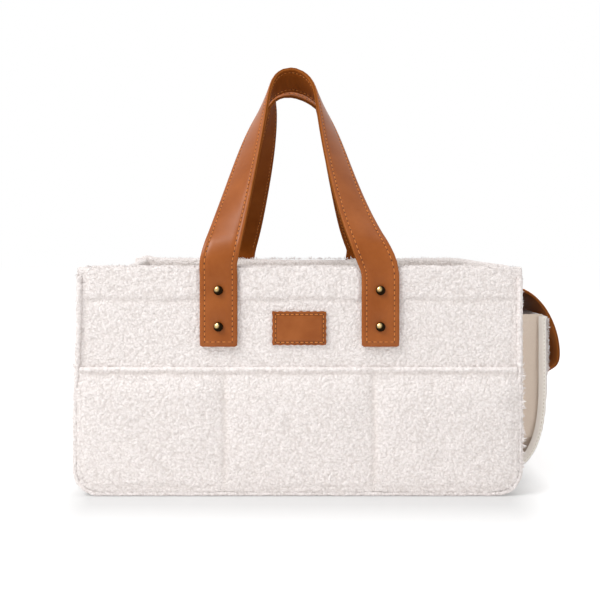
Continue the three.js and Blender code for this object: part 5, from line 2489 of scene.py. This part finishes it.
@dataclass(frozen=True)
class Lamp:
    """A soft studio lamp aimed at the caddy."""

    name: str
    place: Spot
    size: float
    power: float
    target: Spot = (0, 0, 0.15)

    def build(self) -> None:
        """Hangs the lamp and turns it to its target."""
        deselect()
        bpy.ops.object.light_add(type="AREA", location=self.place)
        lamp = bpy.context.object
        lamp.name = self.name
        lamp.data.size = self.size
        lamp.data.energy = self.power
        aim = Vector(self.target) - Vector(self.place)
        lamp.rotation_euler = aim.to_track_quat("-Z", "Y").to_euler()


@dataclass
class Studio:
    """A white sweep, soft lamps and the camera."""

    camera_place: Spot = (0.0004, -0.815, 0.223)
    lens: float = 48.4
    shift: float = -0.108
    sky: float = 0.61
    sky_tint: Colour = (1, 0.995, 0.985, 1)
    floor_size: float = 10.0
    # Painted shadow: the floor's emission is dimmed within and near this outline of the base.
    footprint: tuple[float, float] = (0.168, 0.125)
    floor_tone: tuple[float, float] = (0.95, 0.5)
    floor_glow: tuple[float, float] = (0.225, 0.69)
    shadow_fade: tuple[float, float] = (0.022, 0.13)
    shadow_end_fade: float = 2.2
    lamps: tuple[Lamp, ...] = (
        Lamp("key", (-1.2, -1.2, 1.4), 1.4, 6.0),
        Lamp("spark", (-1.2, -0.88, 1.68), 0.85, 23.0),
        Lamp("fill", (1.3, -1.1, 0.7), 1.4, 2.5),
        Lamp("top", (0.1, -0.1, 1.8), 1.4, 6.0),
    )

    def build(self) -> None:
        """Sets up the view, the lamps, the floor and the white surroundings."""
        scene = bpy.context.scene
        scene.view_settings.view_transform = "Standard"
        deselect()
        bpy.ops.object.camera_add(location=self.camera_place, rotation=(QUARTER_TURN, 0, 0))
        camera = bpy.context.object
        camera.name = "front_camera"
        camera.data.lens = self.lens
        camera.data.shift_y = self.shift
        scene.camera = camera
        for lamp in self.lamps:
            lamp.build()
        self.lay_floor()
        self.whiten(scene)

    def seen(self, graph: Graph) -> Socket:
        """Gives 1 for rays from the camera, a mirror or glass and 0 for the light's own."""
        path = graph.add("ShaderNodeLightPath").outputs
        return graph.math(
            "MAXIMUM",
            path["Is Camera Ray"],
            graph.math("MAXIMUM", path["Is Glossy Ray"], path["Is Transmission Ray"]),
        )

    def lay_floor(self) -> None:
        """Lays a pale floor that keeps the real shadow, with a painted shadow from emission that is dimmed
        round the caddy's base.
        """
        deselect()
        bpy.ops.mesh.primitive_plane_add(size=self.floor_size)
        floor = claim("floor")
        material = bpy.data.materials.new("white_sweep")
        material.use_nodes = True
        graph = Graph(material.node_tree)
        spot = graph.add("ShaderNodeSeparateXYZ", {0: graph.place()}).outputs
        gaps = {}
        for axis, half in enumerate(self.footprint):
            past = graph.math("SUBTRACT", graph.math("ABSOLUTE", spot[axis]), half)
            gaps[axis] = graph.math("MAXIMUM", past, 0.0)
        gaps[0] = graph.math("MULTIPLY", gaps[0], self.shadow_end_fade)
        outwards = graph.add("ShaderNodeCombineXYZ", gaps).outputs[0]
        away = graph.add("ShaderNodeVectorMath", {0: outwards}, operation="LENGTH").outputs["Value"]
        seen = self.seen(graph)
        # Painted shadow: the camera sees a low emission round the caddy's base, rising to white further out.
        glow_and_shadow = graph.math("MULTIPLY", seen, graph.spread(away, *self.shadow_fade, *self.floor_glow))
        tones = [(tone, tone, tone, 1) for tone in self.floor_tone]
        sockets = {
            "Base Color": graph.mix(seen, *tones),
            "Roughness": 0.9,
            "Specular IOR Level": 0.0,
            "Emission Color": (1, 1, 1, 1),
            "Emission Strength": glow_and_shadow,
        }
        shader = graph.add("ShaderNodeBsdfPrincipled", sockets)
        graph.add("ShaderNodeOutputMaterial", {"Surface": shader.outputs[0]})
        floor.data.materials.append(material)

    def whiten(self, scene: bpy.types.Scene) -> None:
        """Gives the world an even light and a white look.

        Args:
            scene: the scene whose world is set.
        """
        world = bpy.data.worlds.new("white_room")
        world.use_nodes = True
        scene.world = world
        graph = Graph(world.node_tree)
        light = graph.add("ShaderNodeBackground", {"Color": self.sky_tint, "Strength": self.sky})
        white = graph.add("ShaderNodeBackground", {"Color": (1, 1, 1, 1), "Strength": 1.0})
        sockets = {0: self.seen(graph), 1: light.outputs[0], 2: white.outputs[0]}
        mixed = graph.add("ShaderNodeMixShader", sockets)
        graph.add("ShaderNodeOutputWorld", {"Surface": mixed.outputs[0]})


def report(pieces: Iterable[Piece]) -> None:
    """Logs each finished piece with its number of faces."""
    for piece in pieces:
        LOG.info("%s: %d faces", piece.name, len(piece.data.polygons))


def main() -> None:
    """Builds the caddy's pieces in order, then the studio round them."""
    logging.basicConfig(level=logging.INFO, format="%(name)s %(message)s")
    cloth = Fleece()
    report(FleeceWrap(cloth).build())
    for side in Side:
        report(FleecePanel(side, cloth).build())
        report(PocketRow(side, cloth).build())
        report(EdgePiping(side, cloth).build())
    report(HandleStrap(Side.FRONT, FRONT_LOOP).build())
    report(HandleStrap(Side.BACK, BACK_LOOP).build())
    for assembly in (Rivets(), Patch(), EndPocket(cloth), EndFlap(), Snap(), Inside(cloth), LooseLocks()):
        report(assembly.build())
    Studio().build()


if __name__ == "__main__":
    main()
